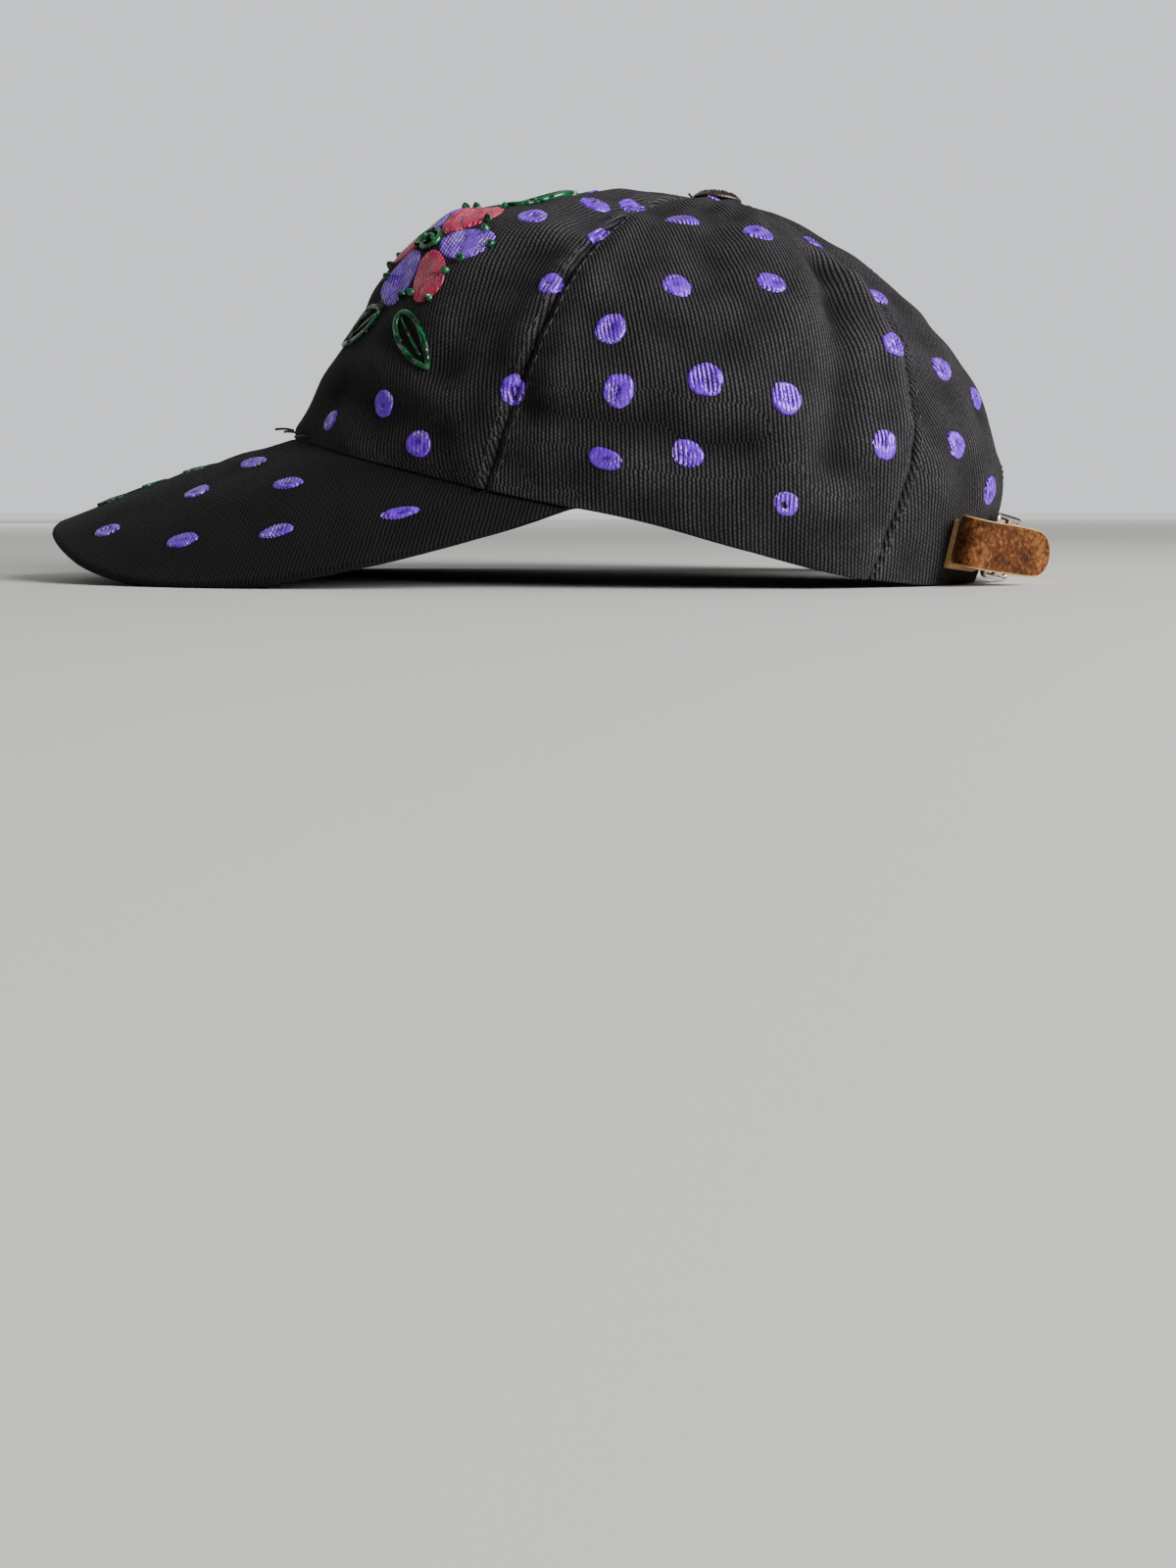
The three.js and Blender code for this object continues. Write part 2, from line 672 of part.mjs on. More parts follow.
// Short strip that is sewn to the left panel and looped round the buckle's left bar
function stub() {
  const { up, side, centre, halfAcross } = buckleFrame;
  const leftBar = centre.clone().addScaledVector(side, halfAcross);
  const onRim = strapPath(stubRows, 12);
  const radius = buckleWire + seatGap + strapThickness / 2;
  const direction = side.clone().negate();
  const through = direction.clone().cross(up).normalize();
  if (through.dot(leftBar) < 0) through.negate();
  const loop = [];
  const steps = 9;
  for (let i = 0; i <= steps; i += 1) {
    const turn = Math.PI * (i / steps);
    const out = through.clone().multiplyScalar(-Math.cos(turn))
      .addScaledVector(direction, Math.sin(turn));
    loop.push({
      centre: leftBar.clone().addScaledVector(out, radius),
      across: up,
      through: out.negate(),
      halfWidth: strapWidth / 2,
    });
  }
  const last = loop[loop.length - 1];
  const tab = { ...last, centre: last.centre.clone().addScaledVector(side, stubTabLength) };
  return [...onRim.slice(0, -1), ...loop, tab];
}

// Wire slide buckle: a closed frame with a middle bar
function wireRing(points, normal, radius, sides) {
  const rings = points.map((point, i) => {
    const before = points[(i + points.length - 1) % points.length];
    const after = points[(i + 1) % points.length];
    const along = after.clone().sub(before).normalize();
    const outward = along.cross(normal).normalize();
    return Array.from({ length: sides }, (_, k) => point.clone()
      .addScaledVector(outward, radius * Math.cos((TAU * k) / sides))
      .addScaledVector(normal, radius * Math.sin((TAU * k) / sides)));
  });
  const triangles = [];
  rings.forEach((ring, i) => {
    const next = rings[(i + 1) % rings.length];
    ring.forEach((point, k) => {
      const k1 = (k + 1) % sides;
      triangles.push(...strip(point, ring[k1], next[k1], next[k]));
    });
  });
  return geometryOf(triangles);
}

function wireBar(from, to, radius, sides) {
  const length = from.distanceTo(to);
  const bar = new THREE.CylinderGeometry(radius, radius, length, sides).toNonIndexed();
  const turn = new THREE.Quaternion()
    .setFromUnitVectors(new THREE.Vector3(0, 1, 0), to.clone().sub(from).normalize());
  bar.applyQuaternion(turn);
  const middle = from.clone().lerp(to, 0.5);
  return bar.translate(middle.x, middle.y, middle.z);
}

function buckle() {
  const wireSides = 8;
  const cornerSteps = 4;
  const cornerRadius = buckleCornerRadius;
  const { centre, side, up, normal, halfAcross, halfUp } = buckleFrame;
  const points = [];
  for (const [x, y, start] of [[1, 1, 0], [-1, 1, 1], [-1, -1, 2], [1, -1, 3]]) {
    for (let i = 0; i <= cornerSteps; i += 1) {
      const turn = ((start + i / cornerSteps) * Math.PI) / 2;
      points.push(centre.clone()
        .addScaledVector(side, x * (halfAcross - cornerRadius) + cornerRadius * Math.cos(turn))
        .addScaledVector(up, y * (halfUp - cornerRadius) + cornerRadius * Math.sin(turn)));
    }
  }
  const frame = wireRing(points, normal, buckleWire, wireSides);
  const barFoot = centre.clone().addScaledVector(up, -halfUp);
  const barHead = barFoot.clone().addScaledVector(up, 2 * halfUp);
  const bar = wireBar(barFoot, barHead, buckleWire, wireSides);
  return geometryOfSolid(solidOf(frame).add(solidOf(bar)));
}

// Button: a covered dome with a shank through the panels and a flange under them
function button() {
  const sides = 24;
  const flangeLevel = levelAtRadius(buttonFlangeRadius);
  const heightAtSide = (level, k) => crown((TAU * k) / sides, level).z;
  const heightsAt = (level) => Array.from({ length: sides }, (_, k) => heightAtSide(level, k));
  const seat = Math.max(...heightsAt(topLevel)) + seatGap;
  const under = Math.min(...heightsAt(flangeLevel)) - clothThickness - seatGap;
  const profile = [
    [0, under - buttonFlangeThickness],
    [buttonFlangeRadius, under - buttonFlangeThickness],
    [buttonFlangeRadius, under],
    [buttonShankRadius, under],
    [buttonShankRadius, seat],
    [buttonUnderRadius, seat],
    [buttonRadius, seat + buttonSkirt],
  ];
  const domeSteps = 6;
  for (let i = 1; i < domeSteps; i += 1) {
    const turn = (i / domeSteps) * (Math.PI / 2);
    profile.push([
      buttonRadius * Math.cos(turn),
      seat + lerp(buttonSkirt, buttonHeight, Math.sin(turn)),
    ]);
  }
  profile.push([0, seat + buttonHeight]);
  return new THREE.LatheGeometry(profile.map(([r, z]) => new THREE.Vector2(r, z)), sides)
    .rotateX(Math.PI / 2);
}

// Materials
const twill = new THREE.MeshStandardMaterial({ color: 0x2a292b, roughness: 0.9 });
const leather = new THREE.MeshStandardMaterial({ color: 0xb98548, roughness: 0.7 });
const brocade = new THREE.MeshStandardMaterial({ color: 0x3a2c22, roughness: 0.6 });
const nickel = new THREE.MeshStandardMaterial({ color: 0xc9c7c2, roughness: 0.3, metalness: 1 });

// Assembly
const cap = new THREE.Group();
function addPiece(name, geometry, material) {
  const mesh = new THREE.Mesh(geometry, material);
  mesh.name = name;
  cap.add(mesh);
}

for (const [name, { outer, inner }] of panelSpecs) {
  addPiece(name, wallBetween(outer, inner), twill);
}
addPiece('peak', wallBetween(peakGrids.outer, peakGrids.inner), twill);
addPiece('button', button(), brocade);
addPiece('strap', ribbon(strap()), leather);
addPiece('strap_stub', ribbon(stub()), leather);
addPiece('buckle', buckle(), nickel);

// The cap stands on the table, with its origin under the middle of its box
cap.rotation.x = -tip;
cap.updateMatrixWorld(true);
const box = new THREE.Box3().setFromObject(cap, true);
cap.position.set(-(box.min.x + box.max.x) / 2, -(box.min.y + box.max.y) / 2, -box.min.z);

const model = new THREE.Group();
model.add(cap);
model.updateMatrixWorld(true);

export default model;
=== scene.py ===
import math

import bmesh
import bpy
import numpy as np
from mathutils import Matrix, Vector


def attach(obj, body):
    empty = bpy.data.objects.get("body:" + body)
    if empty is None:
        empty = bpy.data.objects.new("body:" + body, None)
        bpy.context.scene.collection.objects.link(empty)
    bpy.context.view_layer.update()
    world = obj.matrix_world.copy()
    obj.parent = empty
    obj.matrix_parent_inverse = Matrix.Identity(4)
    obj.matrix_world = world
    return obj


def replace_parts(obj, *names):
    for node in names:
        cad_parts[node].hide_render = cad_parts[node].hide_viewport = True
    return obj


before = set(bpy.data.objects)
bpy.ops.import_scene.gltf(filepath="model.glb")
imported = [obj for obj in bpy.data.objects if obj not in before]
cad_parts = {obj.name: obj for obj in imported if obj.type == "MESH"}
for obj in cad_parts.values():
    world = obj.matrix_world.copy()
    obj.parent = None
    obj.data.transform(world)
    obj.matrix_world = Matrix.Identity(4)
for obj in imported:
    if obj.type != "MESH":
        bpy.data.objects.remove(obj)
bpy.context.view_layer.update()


# Crown: six gores of washed black cotton twill under a button, unlined, so that they keep the soft
# dents of having been worn. Each gore is sewn to the next with its raw edge turned in, and the hem
# is turned up inside. Sizes are in metres, in the cap as it is worn, with the front at -Y.
FRONT_REACH = 0.1105
SIDE_REACH = 0.081
BACK_REACH = 0.087
CROWN_HEIGHT = 0.089
RIM_FULLNESS = 2.2
TOP_FULLNESS = 2.0
RIM_FRONT_LIFT = 0.011
RIM_FRONT_SHARPNESS = 2.6
RIM_BACK_DROP = 0.009
RIM_BACK_DROP_FROM = math.radians(70)
RIM_BACK_DROP_TO = math.radians(125)
CLOTH_THICKNESS = 0.0016
CLOTH_LENGTH = 0.149
CLOTH_PER_HEIGHT = 1.6
OPENING_WIDTH = 0.070
OPENING_HEIGHT = 0.034

# Meridians from rim to button at even steps, as shares of each reach and of the height
MERIDIAN_COLUMNS = ["front_out", "front_up", "side_out", "side_up", "back_out", "back_up"]
MERIDIANS = np.array([
    (1.000, 0.000, 1.000, 0.000, 0.985, 0.000),
    (0.946, 0.179, 1.026, 0.150, 1.008, 0.149),
    (0.882, 0.349, 1.026, 0.302, 1.013, 0.301),
    (0.832, 0.521, 0.983, 0.447, 0.944, 0.441),
    (0.767, 0.686, 0.906, 0.584, 0.846, 0.574),
    (0.674, 0.814, 0.796, 0.706, 0.716, 0.686),
    (0.534, 0.876, 0.660, 0.806, 0.573, 0.776),
    (0.404, 0.922, 0.508, 0.882, 0.440, 0.853),
    (0.272, 0.963, 0.345, 0.940, 0.302, 0.926),
    (0.136, 0.988, 0.175, 0.980, 0.155, 0.975),
    (0.000, 1.000, 0.000, 1.000, 0.000, 1.000),
])

# Seams in degrees from the front, at the rim, at SEAM_MIDDLE of the way up and at the button
SEAMS = {
    "front_centre": (0, 0, 0),
    "front_side": (54, 59.5, 56),
    "side_back": (122.5, 131, 132),
    "back_centre": (180, 180, 180),
}
SEAM_MIDDLE = 0.4

# Folds and dents along a line: azimuth and level of its two ends, width and depth as shares of
# SIDE_REACH. A negative azimuth is on the right side, and a negative depth is a dent.
FOLD_COLUMNS = ["azimuth", "level", "to_azimuth", "to_level", "width", "depth"]
FOLDS = [
    (9, 0.02, 24, 0.47, 0.09, 0.024),
    (12, 0.46, 26, 0.58, 0.09, -0.015),
    (44, 0.18, 49, 0.44, 0.09, -0.034),
    (22, 0.10, 45, 0.09, 0.07, -0.020),
    (112, 0.18, 118, 0.58, 0.07, -0.042),
    (62, 0.15, 96, 0.17, 0.08, -0.028),
    (84, 0.72, 88, 0.45, 0.10, -0.018),
    (146, 0.60, 145, 0.26, 0.07, 0.014),
    (127, 0.28, 127, 0.56, 0.05, 0.024),
    (51, 0.12, 55, 0.72, 0.06, -0.020),
    (63, 0.12, 66, 0.60, 0.06, 0.014),
    (158, 0.56, 160, 0.34, 0.07, 0.010),
    (-10, 0.04, -25, 0.46, 0.09, 0.022),
    (-46, 0.16, -50, 0.40, 0.09, -0.028),
    (-78, 0.14, -100, 0.16, 0.10, -0.018),
    (-112, 0.20, -117, 0.52, 0.10, -0.028),
    (-144, 0.58, -148, 0.30, 0.08, 0.013),
]
PANEL_PUFF = 0.0016
SEAM_DIP = 0.0006
SEAM_DIP_WIDTH = 0.005
RELIEF_AT_RIM = 0.3
RELIEF_RISE = 4

# Smaller creases than the folds: pulled cloth beside each seam, and a soft crumple all over
PUCKER_DEPTH = 0.00030
PUCKER_PITCH = 0.0085
PUCKER_REACH = 0.0045
PUCKER_WANDER = 2.2
PUCKER_WANDER_RATE = 130
PUCKER_TURNS = 3
TURNED_EDGE_DEPTH = 0.0010
TURNED_EDGE_WIDTH = 0.0009
CRUMPLE_DEPTH = 0.00015
CRUMPLE_WAVES = 26
CRUMPLE_SIZES = (0.009, 0.034)

# The cap lies tipped back on its peak and the back of its rim
REST_TIP = math.radians(6.367)
REST_SHIFT = np.array([-0.000297, 0.042992, 0.017188])
REST_TURN = np.array([
    (1, 0, 0),
    (0, math.cos(REST_TIP), math.sin(REST_TIP)),
    (0, -math.sin(REST_TIP), math.cos(REST_TIP)),
])


def at_rest(points):
    """Places of the worn cap as it lies on its table, which presses flat what would sink in"""
    placed = np.asarray(points) @ REST_TURN.T + REST_SHIFT
    placed[..., 2] = np.maximum(placed[..., 2], 0)
    return placed


def as_worn(points):
    """The other way round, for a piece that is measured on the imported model"""
    return (np.asarray(points) - REST_SHIFT) @ REST_TURN


def between(values, place):
    """Smooth value between the rows of a table's column, at a place from 0 to its last row"""
    values = np.asarray(values, float)
    last = len(values) - 1
    start = np.clip(np.floor(place).astype(int), 0, last - 1)
    share = place - start
    a, b, c, d = (values[np.clip(start + step, 0, last)] for step in (-1, 0, 1, 2))
    bend = 2 * a - 5 * b + 4 * c - d + share * (3 * (b - c) + d - a)
    return b + 0.5 * share * (c - a + share * bend)


def meridian(column, level):
    """A column of MERIDIANS at a level from 0 at the rim to 1 at the button"""
    return between(MERIDIANS[:, MERIDIAN_COLUMNS.index(column)], level * (len(MERIDIANS) - 1))


def eased(value, low, high):
    """0 below low, 1 above high, and a smooth rise between them"""
    share = np.clip((value - low) / (high - low), 0, 1)
    return share * share * (3 - 2 * share)


def rim_height(azimuth):
    """Height of the rim, which rises over the forehead and drops at the back"""
    turn = np.abs(azimuth)
    to_front = np.maximum(np.cos(turn), 0) ** RIM_FRONT_SHARPNESS
    return RIM_FRONT_LIFT * to_front - RIM_BACK_DROP * eased(turn, RIM_BACK_DROP_FROM, RIM_BACK_DROP_TO)


def smooth_crown(azimuth, level):
    """The crown without seams or folds. Azimuth runs from the front towards the wearer's left."""
    forward = np.cos(azimuth)
    sideways = np.sin(azimuth)
    in_front = forward > 0
    front = FRONT_REACH * meridian("front_out", level)
    back = BACK_REACH * meridian("back_out", level)
    along = np.where(in_front, front, back)
    across = SIDE_REACH * meridian("side_out", level)
    fullness = RIM_FULLNESS + (TOP_FULLNESS - RIM_FULLNESS) * level
    spread = np.abs(sideways / across) ** fullness + np.abs(forward / along) ** fullness
    reach = spread ** (-1 / fullness)
    middle_up = np.where(in_front, meridian("front_up", level), meridian("back_up", level))
    side_up = meridian("side_up", level)
    up = side_up + (middle_up - side_up) * forward ** 2
    rim = rim_height(azimuth)
    return np.stack([reach * sideways, -reach * forward, rim + (CROWN_HEIGHT - rim) * up], axis=-1)


def outward(surface, azimuth, level, step=0.004):
    """Unit normal of a surface that is given by azimuth and level"""
    around = surface(azimuth + step, level) - surface(azimuth - step, level)
    upward = surface(azimuth, level + step) - surface(azimuth, np.maximum(level - step, 0))
    normal = np.cross(around, upward)
    return normal / np.linalg.norm(normal, axis=-1, keepdims=True)


def seam_azimuth(seam, level):
    """Where a seam of the left half runs, on a parabola through its three places"""
    rim, middle, top = (math.radians(place) for place in SEAMS[seam])
    m = SEAM_MIDDLE
    from_rim = rim * (level - m) * (level - 1) / m
    from_middle = middle * level * (level - 1) / (m * (m - 1))
    return from_rim + from_middle + top * level * (level - m) / (1 - m)


def gore_of(azimuth, level):
    """How far round a place lies on its own half, and the two seams that it lies between"""
    turn = np.abs(azimuth)
    seams = [seam_azimuth(seam, level) for seam in SEAMS]
    gore = (turn > seams[1]).astype(int) + (turn > seams[2]).astype(int)
    low = np.choose(gore, seams[:3])
    high = np.choose(gore, seams[1:])
    return turn, low, high


def fold_depth(azimuth, level):
    """How far the folds and dents together move a place out, or in where it is negative"""
    depth = np.zeros(np.broadcast(azimuth, level).shape)
    cloth_height = CROWN_HEIGHT * CLOTH_PER_HEIGHT
    for fold in FOLDS:
        row = dict(zip(FOLD_COLUMNS, fold))
        start_x = math.radians(row["azimuth"]) * SIDE_REACH
        start_y = row["level"] * cloth_height
        run_x = math.radians(row["to_azimuth"]) * SIDE_REACH - start_x
        run_y = row["to_level"] * cloth_height - start_y
        x = azimuth * SIDE_REACH - start_x
        y = level * cloth_height - start_y
        share = np.clip((x * run_x + y * run_y) / (run_x ** 2 + run_y ** 2), 0, 1)
        distance = np.hypot(x - share * run_x, y - share * run_y)
        depth += SIDE_REACH * row["depth"] * np.exp(-(distance / (SIDE_REACH * row["width"])) ** 2)
    return depth


crumple_draw = np.random.default_rng(7)
crumple_turns = crumple_draw.uniform(0, math.pi, CRUMPLE_WAVES)
crumple_starts = crumple_draw.uniform(0, 2 * math.pi, CRUMPLE_WAVES)
crumple_sizes = crumple_draw.uniform(*CRUMPLE_SIZES, CRUMPLE_WAVES)


def crumple(x, y):
    """Soft uneven waves of washed cloth, at a place on it in metres"""
    height = 0
    for turn, start, size in zip(crumple_turns, crumple_starts, crumple_sizes):
        run = x * math.cos(turn) + y * math.sin(turn)
        height = height + size / CRUMPLE_SIZES[1] * np.sin(2 * math.pi * run / size + start)
    return CRUMPLE_DEPTH * height


def relief(azimuth, level):
    """How far the cloth stands out of the smooth crown: puffed gores, seams, folds and creases"""
    turn, low, high = gore_of(azimuth, level)
    flat = smooth_crown(azimuth, level)
    reach = np.hypot(flat[..., 0], flat[..., 1])
    to_seam = np.minimum(turn - low, high - turn) * reach
    near_button = np.minimum(1, 2 * reach / SIDE_REACH)
    fade = near_button * np.minimum(1, RELIEF_AT_RIM + level * RELIEF_RISE)
    share = np.clip((turn - low) / (high - low), 0, 1)
    puffed = PANEL_PUFF * np.sin(math.pi * share) - SEAM_DIP * np.exp(-(to_seam / SEAM_DIP_WIDTH) ** 2)
    up_cloth = level * CLOTH_LENGTH
    around_cloth = azimuth * SIDE_REACH
    wander = np.sin(up_cloth * PUCKER_WANDER_RATE + turn * PUCKER_TURNS)
    waves = np.sin(2 * math.pi * up_cloth / PUCKER_PITCH + PUCKER_WANDER * wander)
    pucker = PUCKER_DEPTH * waves * np.exp(-(to_seam / PUCKER_REACH) ** 2)
    turned_in = TURNED_EDGE_DEPTH * np.exp(-(to_seam / TURNED_EDGE_WIDTH) ** 2)
    creases = near_button * (pucker + crumple(around_cloth, up_cloth)) - turned_in
    return fade * puffed + fold_depth(azimuth, level) + creases


def wrapped(azimuth):
    """An azimuth brought back between -180 and 180 degrees"""
    return np.arctan2(np.sin(azimuth), np.cos(azimuth))


def crown(azimuth, level, lift=0.0):
    """A place on the outside of the worn crown, lifted off it along its own normal"""
    azimuth = wrapped(azimuth)
    height = (relief(azimuth, level) + lift)[..., None]
    return smooth_crown(azimuth, level) + outward(smooth_crown, azimuth, level) * height


# The twill's ribs lean towards the front. Its dye has faded all over and along the hem, its colour is
# lighter on fold ridges and darker in their creases, and beside the seams lies a band of faded dye and
# painted highlight
RIB_LEAN = math.radians(21)
RIB_UPRIGHTING = 0.78
WEAR_ALL_OVER = 0.30
WEAR_TOWARDS_TOP = 0.25
RIDGE_LIGHTENING = 420
SEAM_WEAR_AND_HIGHLIGHT = 0.28
SEAM_BAND_PLACE = 0.0016
SEAM_BAND_WIDTH = 0.0014
HEM_WEAR = 0.30
HEM_WEAR_WIDTH = 0.0016


def cloth_place(azimuth, level, gore=None):
    """Place on the flat gore in metres, across the twill's ribs and up the gore. The ribs start
    again at every seam, and stand more upright towards the top."""
    turn, low, high = gore_of(azimuth, level)
    if gore is not None:
        low = seam_azimuth(list(SEAMS)[gore], level)
        high = seam_azimuth(list(SEAMS)[gore + 1], level)
    flat = smooth_crown(azimuth, level)
    reach = np.hypot(flat[..., 0], flat[..., 1])
    across = np.sign(azimuth) * (turn - (low + high) / 2) * reach
    slant = math.tan(RIB_LEAN) * (level - RIB_UPRIGHTING * level ** 3 / 3) * CLOTH_LENGTH
    return (across + slant) * math.cos(RIB_LEAN), level * CLOTH_LENGTH


def fade_and_highlight_at(azimuth, level, step=0.05):
    """How much lighter the cloth is: faded all over, more towards the top and along the hem, lighter on
    the ridges of folds and darker in their creases, and beside the seams a band of faded dye and painted
    highlight
    """
    azimuth = wrapped(azimuth)
    height = relief(azimuth, level)
    beside = relief(azimuth + step, level) + relief(azimuth - step, level)
    above = relief(azimuth, np.minimum(level + step, 0.99)) + relief(azimuth, np.abs(level - step))
    ridge = height - (beside + above) / 4
    turn, low, high = gore_of(azimuth, level)
    flat = smooth_crown(azimuth, level)
    to_seam = np.minimum(turn - low, high - turn) * np.hypot(flat[..., 0], flat[..., 1])
    beside_seam = np.exp(-((to_seam - SEAM_BAND_PLACE) / SEAM_BAND_WIDTH) ** 2)
    at_hem = np.exp(-(level * CLOTH_LENGTH / HEM_WEAR_WIDTH) ** 2)
    worn = WEAR_ALL_OVER + WEAR_TOWARDS_TOP * level + RIDGE_LIGHTENING * ridge
    # Beside the seams: painted highlight on the seam's raised edge, with some faded dye
    return np.clip(worn + SEAM_WEAR_AND_HIGHLIGHT * beside_seam + HEM_WEAR * at_hem, 0, 1)


def grid(columns, rows):
    """A flat sheet to be shaped, with each point's place on it as shares from 0 to 1"""
    sheet = bmesh.new()
    bmesh.ops.create_grid(sheet, x_segments=columns, y_segments=rows, size=0.5)
    places = np.array([vert.co for vert in sheet.verts]) + 0.5
    return sheet, places[:, 0], places[:, 1]


def shape(sheet, points, cloth=None):
    """Moves a sheet's points to their places, and keeps the cloth's own measure on them"""
    layer = sheet.verts.layers.float_vector.new("cloth")
    for vert, point in zip(sheet.verts, points):
        vert.co = point
    if cloth is not None:
        for vert, place in zip(sheet.verts, np.stack(cloth, axis=-1)):
            vert[layer] = place


def piece(made, name, *materials):
    """Turns a bmesh into a finished piece of the cap, which is one body"""
    for face in made.faces:
        face.smooth = True
    mesh = bpy.data.meshes.new(name)
    made.to_mesh(mesh)
    made.free()
    built = bpy.data.objects.new(name, mesh)
    bpy.context.scene.collection.objects.link(built)
    for material in materials:
        mesh.materials.append(material)
    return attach(built, "root")


def subdivided(built, levels):
    """Smooths a piece's faces, to the same fineness in view and render"""
    finer = built.modifiers.new("finer", "SUBSURF")
    finer.levels = levels
    finer.render_levels = levels
    return built


def colour(red, green, blue):
    """A colour as seen, from 0 to 255, as the shader's own linear numbers"""
    shares = [value / 255 for value in (red, green, blue)]
    linear = [s / 12.92 if s < 0.04045 else ((s + 0.055) / 1.055) ** 2.4 for s in shares]
    return (*linear, 1.0)


def feed(tree, socket, value):
    """Links a node's output to a socket, or sets a plain value on it"""
    if isinstance(value, bpy.types.NodeSocket):
        tree.links.new(value, socket)
    elif value is not None:
        socket.default_value = value


def work(tree, operation, *values):
    """A Math node's result"""
    node = tree.nodes.new("ShaderNodeMath")
    node.operation = operation
    for socket, value in zip(node.inputs, values):
        feed(tree, socket, value)
    return node.outputs[0]


def ramp(tree, value, low, high):
    """0 at low and 1 at high"""
    node = tree.nodes.new("ShaderNodeMapRange")
    for name, given in (("Value", value), ("From Min", low), ("From Max", high)):
        feed(tree, node.inputs[name], given)
    return node.outputs[0]


def blend(tree, share, first, second):
    """A colour between two others"""
    node = tree.nodes.new("ShaderNodeMix")
    node.data_type = "RGBA"
    for index, given in ((0, share), (6, first), (7, second)):
        feed(tree, node.inputs[index], given)
    return node.outputs[2]


def grain(tree, size, detail=2.0, place=None):
    """Noise of one size, in metres, fixed to the piece"""
    if place is None:
        place = tree.nodes.new("ShaderNodeTexCoord").outputs["Object"]
    node = tree.nodes.new("ShaderNodeTexNoise")
    feed(tree, node.inputs["Vector"], place)
    feed(tree, node.inputs["Scale"], 1 / size)
    feed(tree, node.inputs["Detail"], detail)
    return node.outputs[0]


def bumped(tree, height, distance):
    """Normal of a surface whose height from 0 to 1 stands for a distance in metres"""
    node = tree.nodes.new("ShaderNodeBump")
    feed(tree, node.inputs["Height"], height)
    feed(tree, node.inputs["Distance"], distance)
    return node.outputs[0]


def new_material(name):
    """A material with its node tree and its shader"""
    made = bpy.data.materials.new(name)
    made.use_nodes = True
    return made, made.node_tree, made.node_tree.nodes["Principled BSDF"]


# Twill ribs, a fraction over a millimetre apart, with the short floats of yarn that make them up
RIB_PITCH = 0.00104
FLOAT_PITCH = 0.0011
RIB_WANDER = 0.00028


def twill_ribs(tree):
    """Height of the ribs from 0 in a groove to 1, and how faded the cloth is there, with the painted
    highlight beside the seams
    """
    cloth = tree.nodes.new("ShaderNodeAttribute")
    cloth.attribute_name = "cloth"
    parts = tree.nodes.new("ShaderNodeSeparateXYZ")
    feed(tree, parts.inputs[0], cloth.outputs["Vector"])
    across, along, worn = parts.outputs
    wander = work(tree, "MULTIPLY_ADD", grain(tree, 0.012), 2 * RIB_WANDER, -RIB_WANDER)
    uneven = work(tree, "MULTIPLY_ADD", grain(tree, 0.0022), RIB_WANDER, -RIB_WANDER / 2)
    place = work(tree, "ADD", work(tree, "ADD", across, wander), uneven)
    count = work(tree, "DIVIDE", place, RIB_PITCH)
    side = work(tree, "ABSOLUTE", work(tree, "MULTIPLY_ADD", work(tree, "FRACT", count), 2.0, -1.0))
    rib = work(tree, "SUBTRACT", 1.0, work(tree, "POWER", side, 2.2))
    shifted = work(tree, "MULTIPLY_ADD", work(tree, "FLOOR", count), 0.37 * FLOAT_PITCH, along)
    float_turn = work(tree, "MULTIPLY", shifted, 2 * math.pi / FLOAT_PITCH)
    floats = work(tree, "MULTIPLY_ADD", work(tree, "COSINE", float_turn), 0.11, 0.89)
    return work(tree, "MULTIPLY", rib, floats), worn


def twill(name, groove, ribs, faded, fade):
    """Dyed cotton twill, which fades first along the tops of its ribs. Its grooves are painted darker than
    the rib tops, as painted shade between the ribs.
    """
    made, tree, shader = new_material(name)
    rib, worn = twill_ribs(tree)
    patches = work(tree, "MULTIPLY_ADD", grain(tree, 0.035, 3.0), 1.1, -0.25)
    flecks = grain(tree, 0.0011, 2.0)
    # The faded share, which on the crown also carries the painted highlight beside the seams
    fading_and_highlight = work(tree, "MULTIPLY", work(tree, "ADD", worn, work(tree, "MULTIPLY", patches, 0.5)), fade)
    fading_and_highlight = work(tree, "MULTIPLY", fading_and_highlight, work(tree, "MULTIPLY_ADD", flecks, 1.5, 0.2))
    top = blend(tree, ramp(tree, fading_and_highlight, 0.05, 1.1), ribs, faded)
    # Painted shade: the groove colour shows between the ribs, the rib colour on their tops
    lit = work(tree, "POWER", rib, 2.0)
    feed(tree, shader.inputs["Base Color"], blend(tree, lit, groove, top))
    fuzz = work(tree, "MULTIPLY_ADD", flecks, 0.35, rib)
    feed(tree, shader.inputs["Normal"], bumped(tree, fuzz, 0.00036))
    shader.inputs["Roughness"].default_value = 0.88
    shader.inputs["Specular IOR Level"].default_value = 0.16
    shader.inputs["Sheen Weight"].default_value = 0.07
    shader.inputs["Sheen Roughness"].default_value = 0.45
    shader.inputs["Sheen Tint"].default_value = colour(150, 146, 152)
    return made


# The first colour is the painted shade in the grooves
crown_twill = twill("crown_twill", colour(2, 2, 2), colour(20, 19, 20), colour(80, 77, 80), 1.0)

GORE_COLUMNS = 50
GORE_ROWS = 92
GORE_ROWS_BESIDE_OPENING = 20
EDGE_CROWDING = 0.55
CROWN_TOP_LEVEL = 0.972
HEM_ROLL = 0.0005
HEM_ROLL_WIDTH = 0.0010

opening_level = OPENING_HEIGHT / CLOTH_LENGTH


def opening_azimuth(level):
    """Edge of the half-moon opening at the back, half as an ellipse"""
    share = np.clip(level / opening_level, 0, 1)
    return math.pi - np.arcsin(OPENING_WIDTH / 2 * np.sqrt(1 - share ** 2) / BACK_REACH)


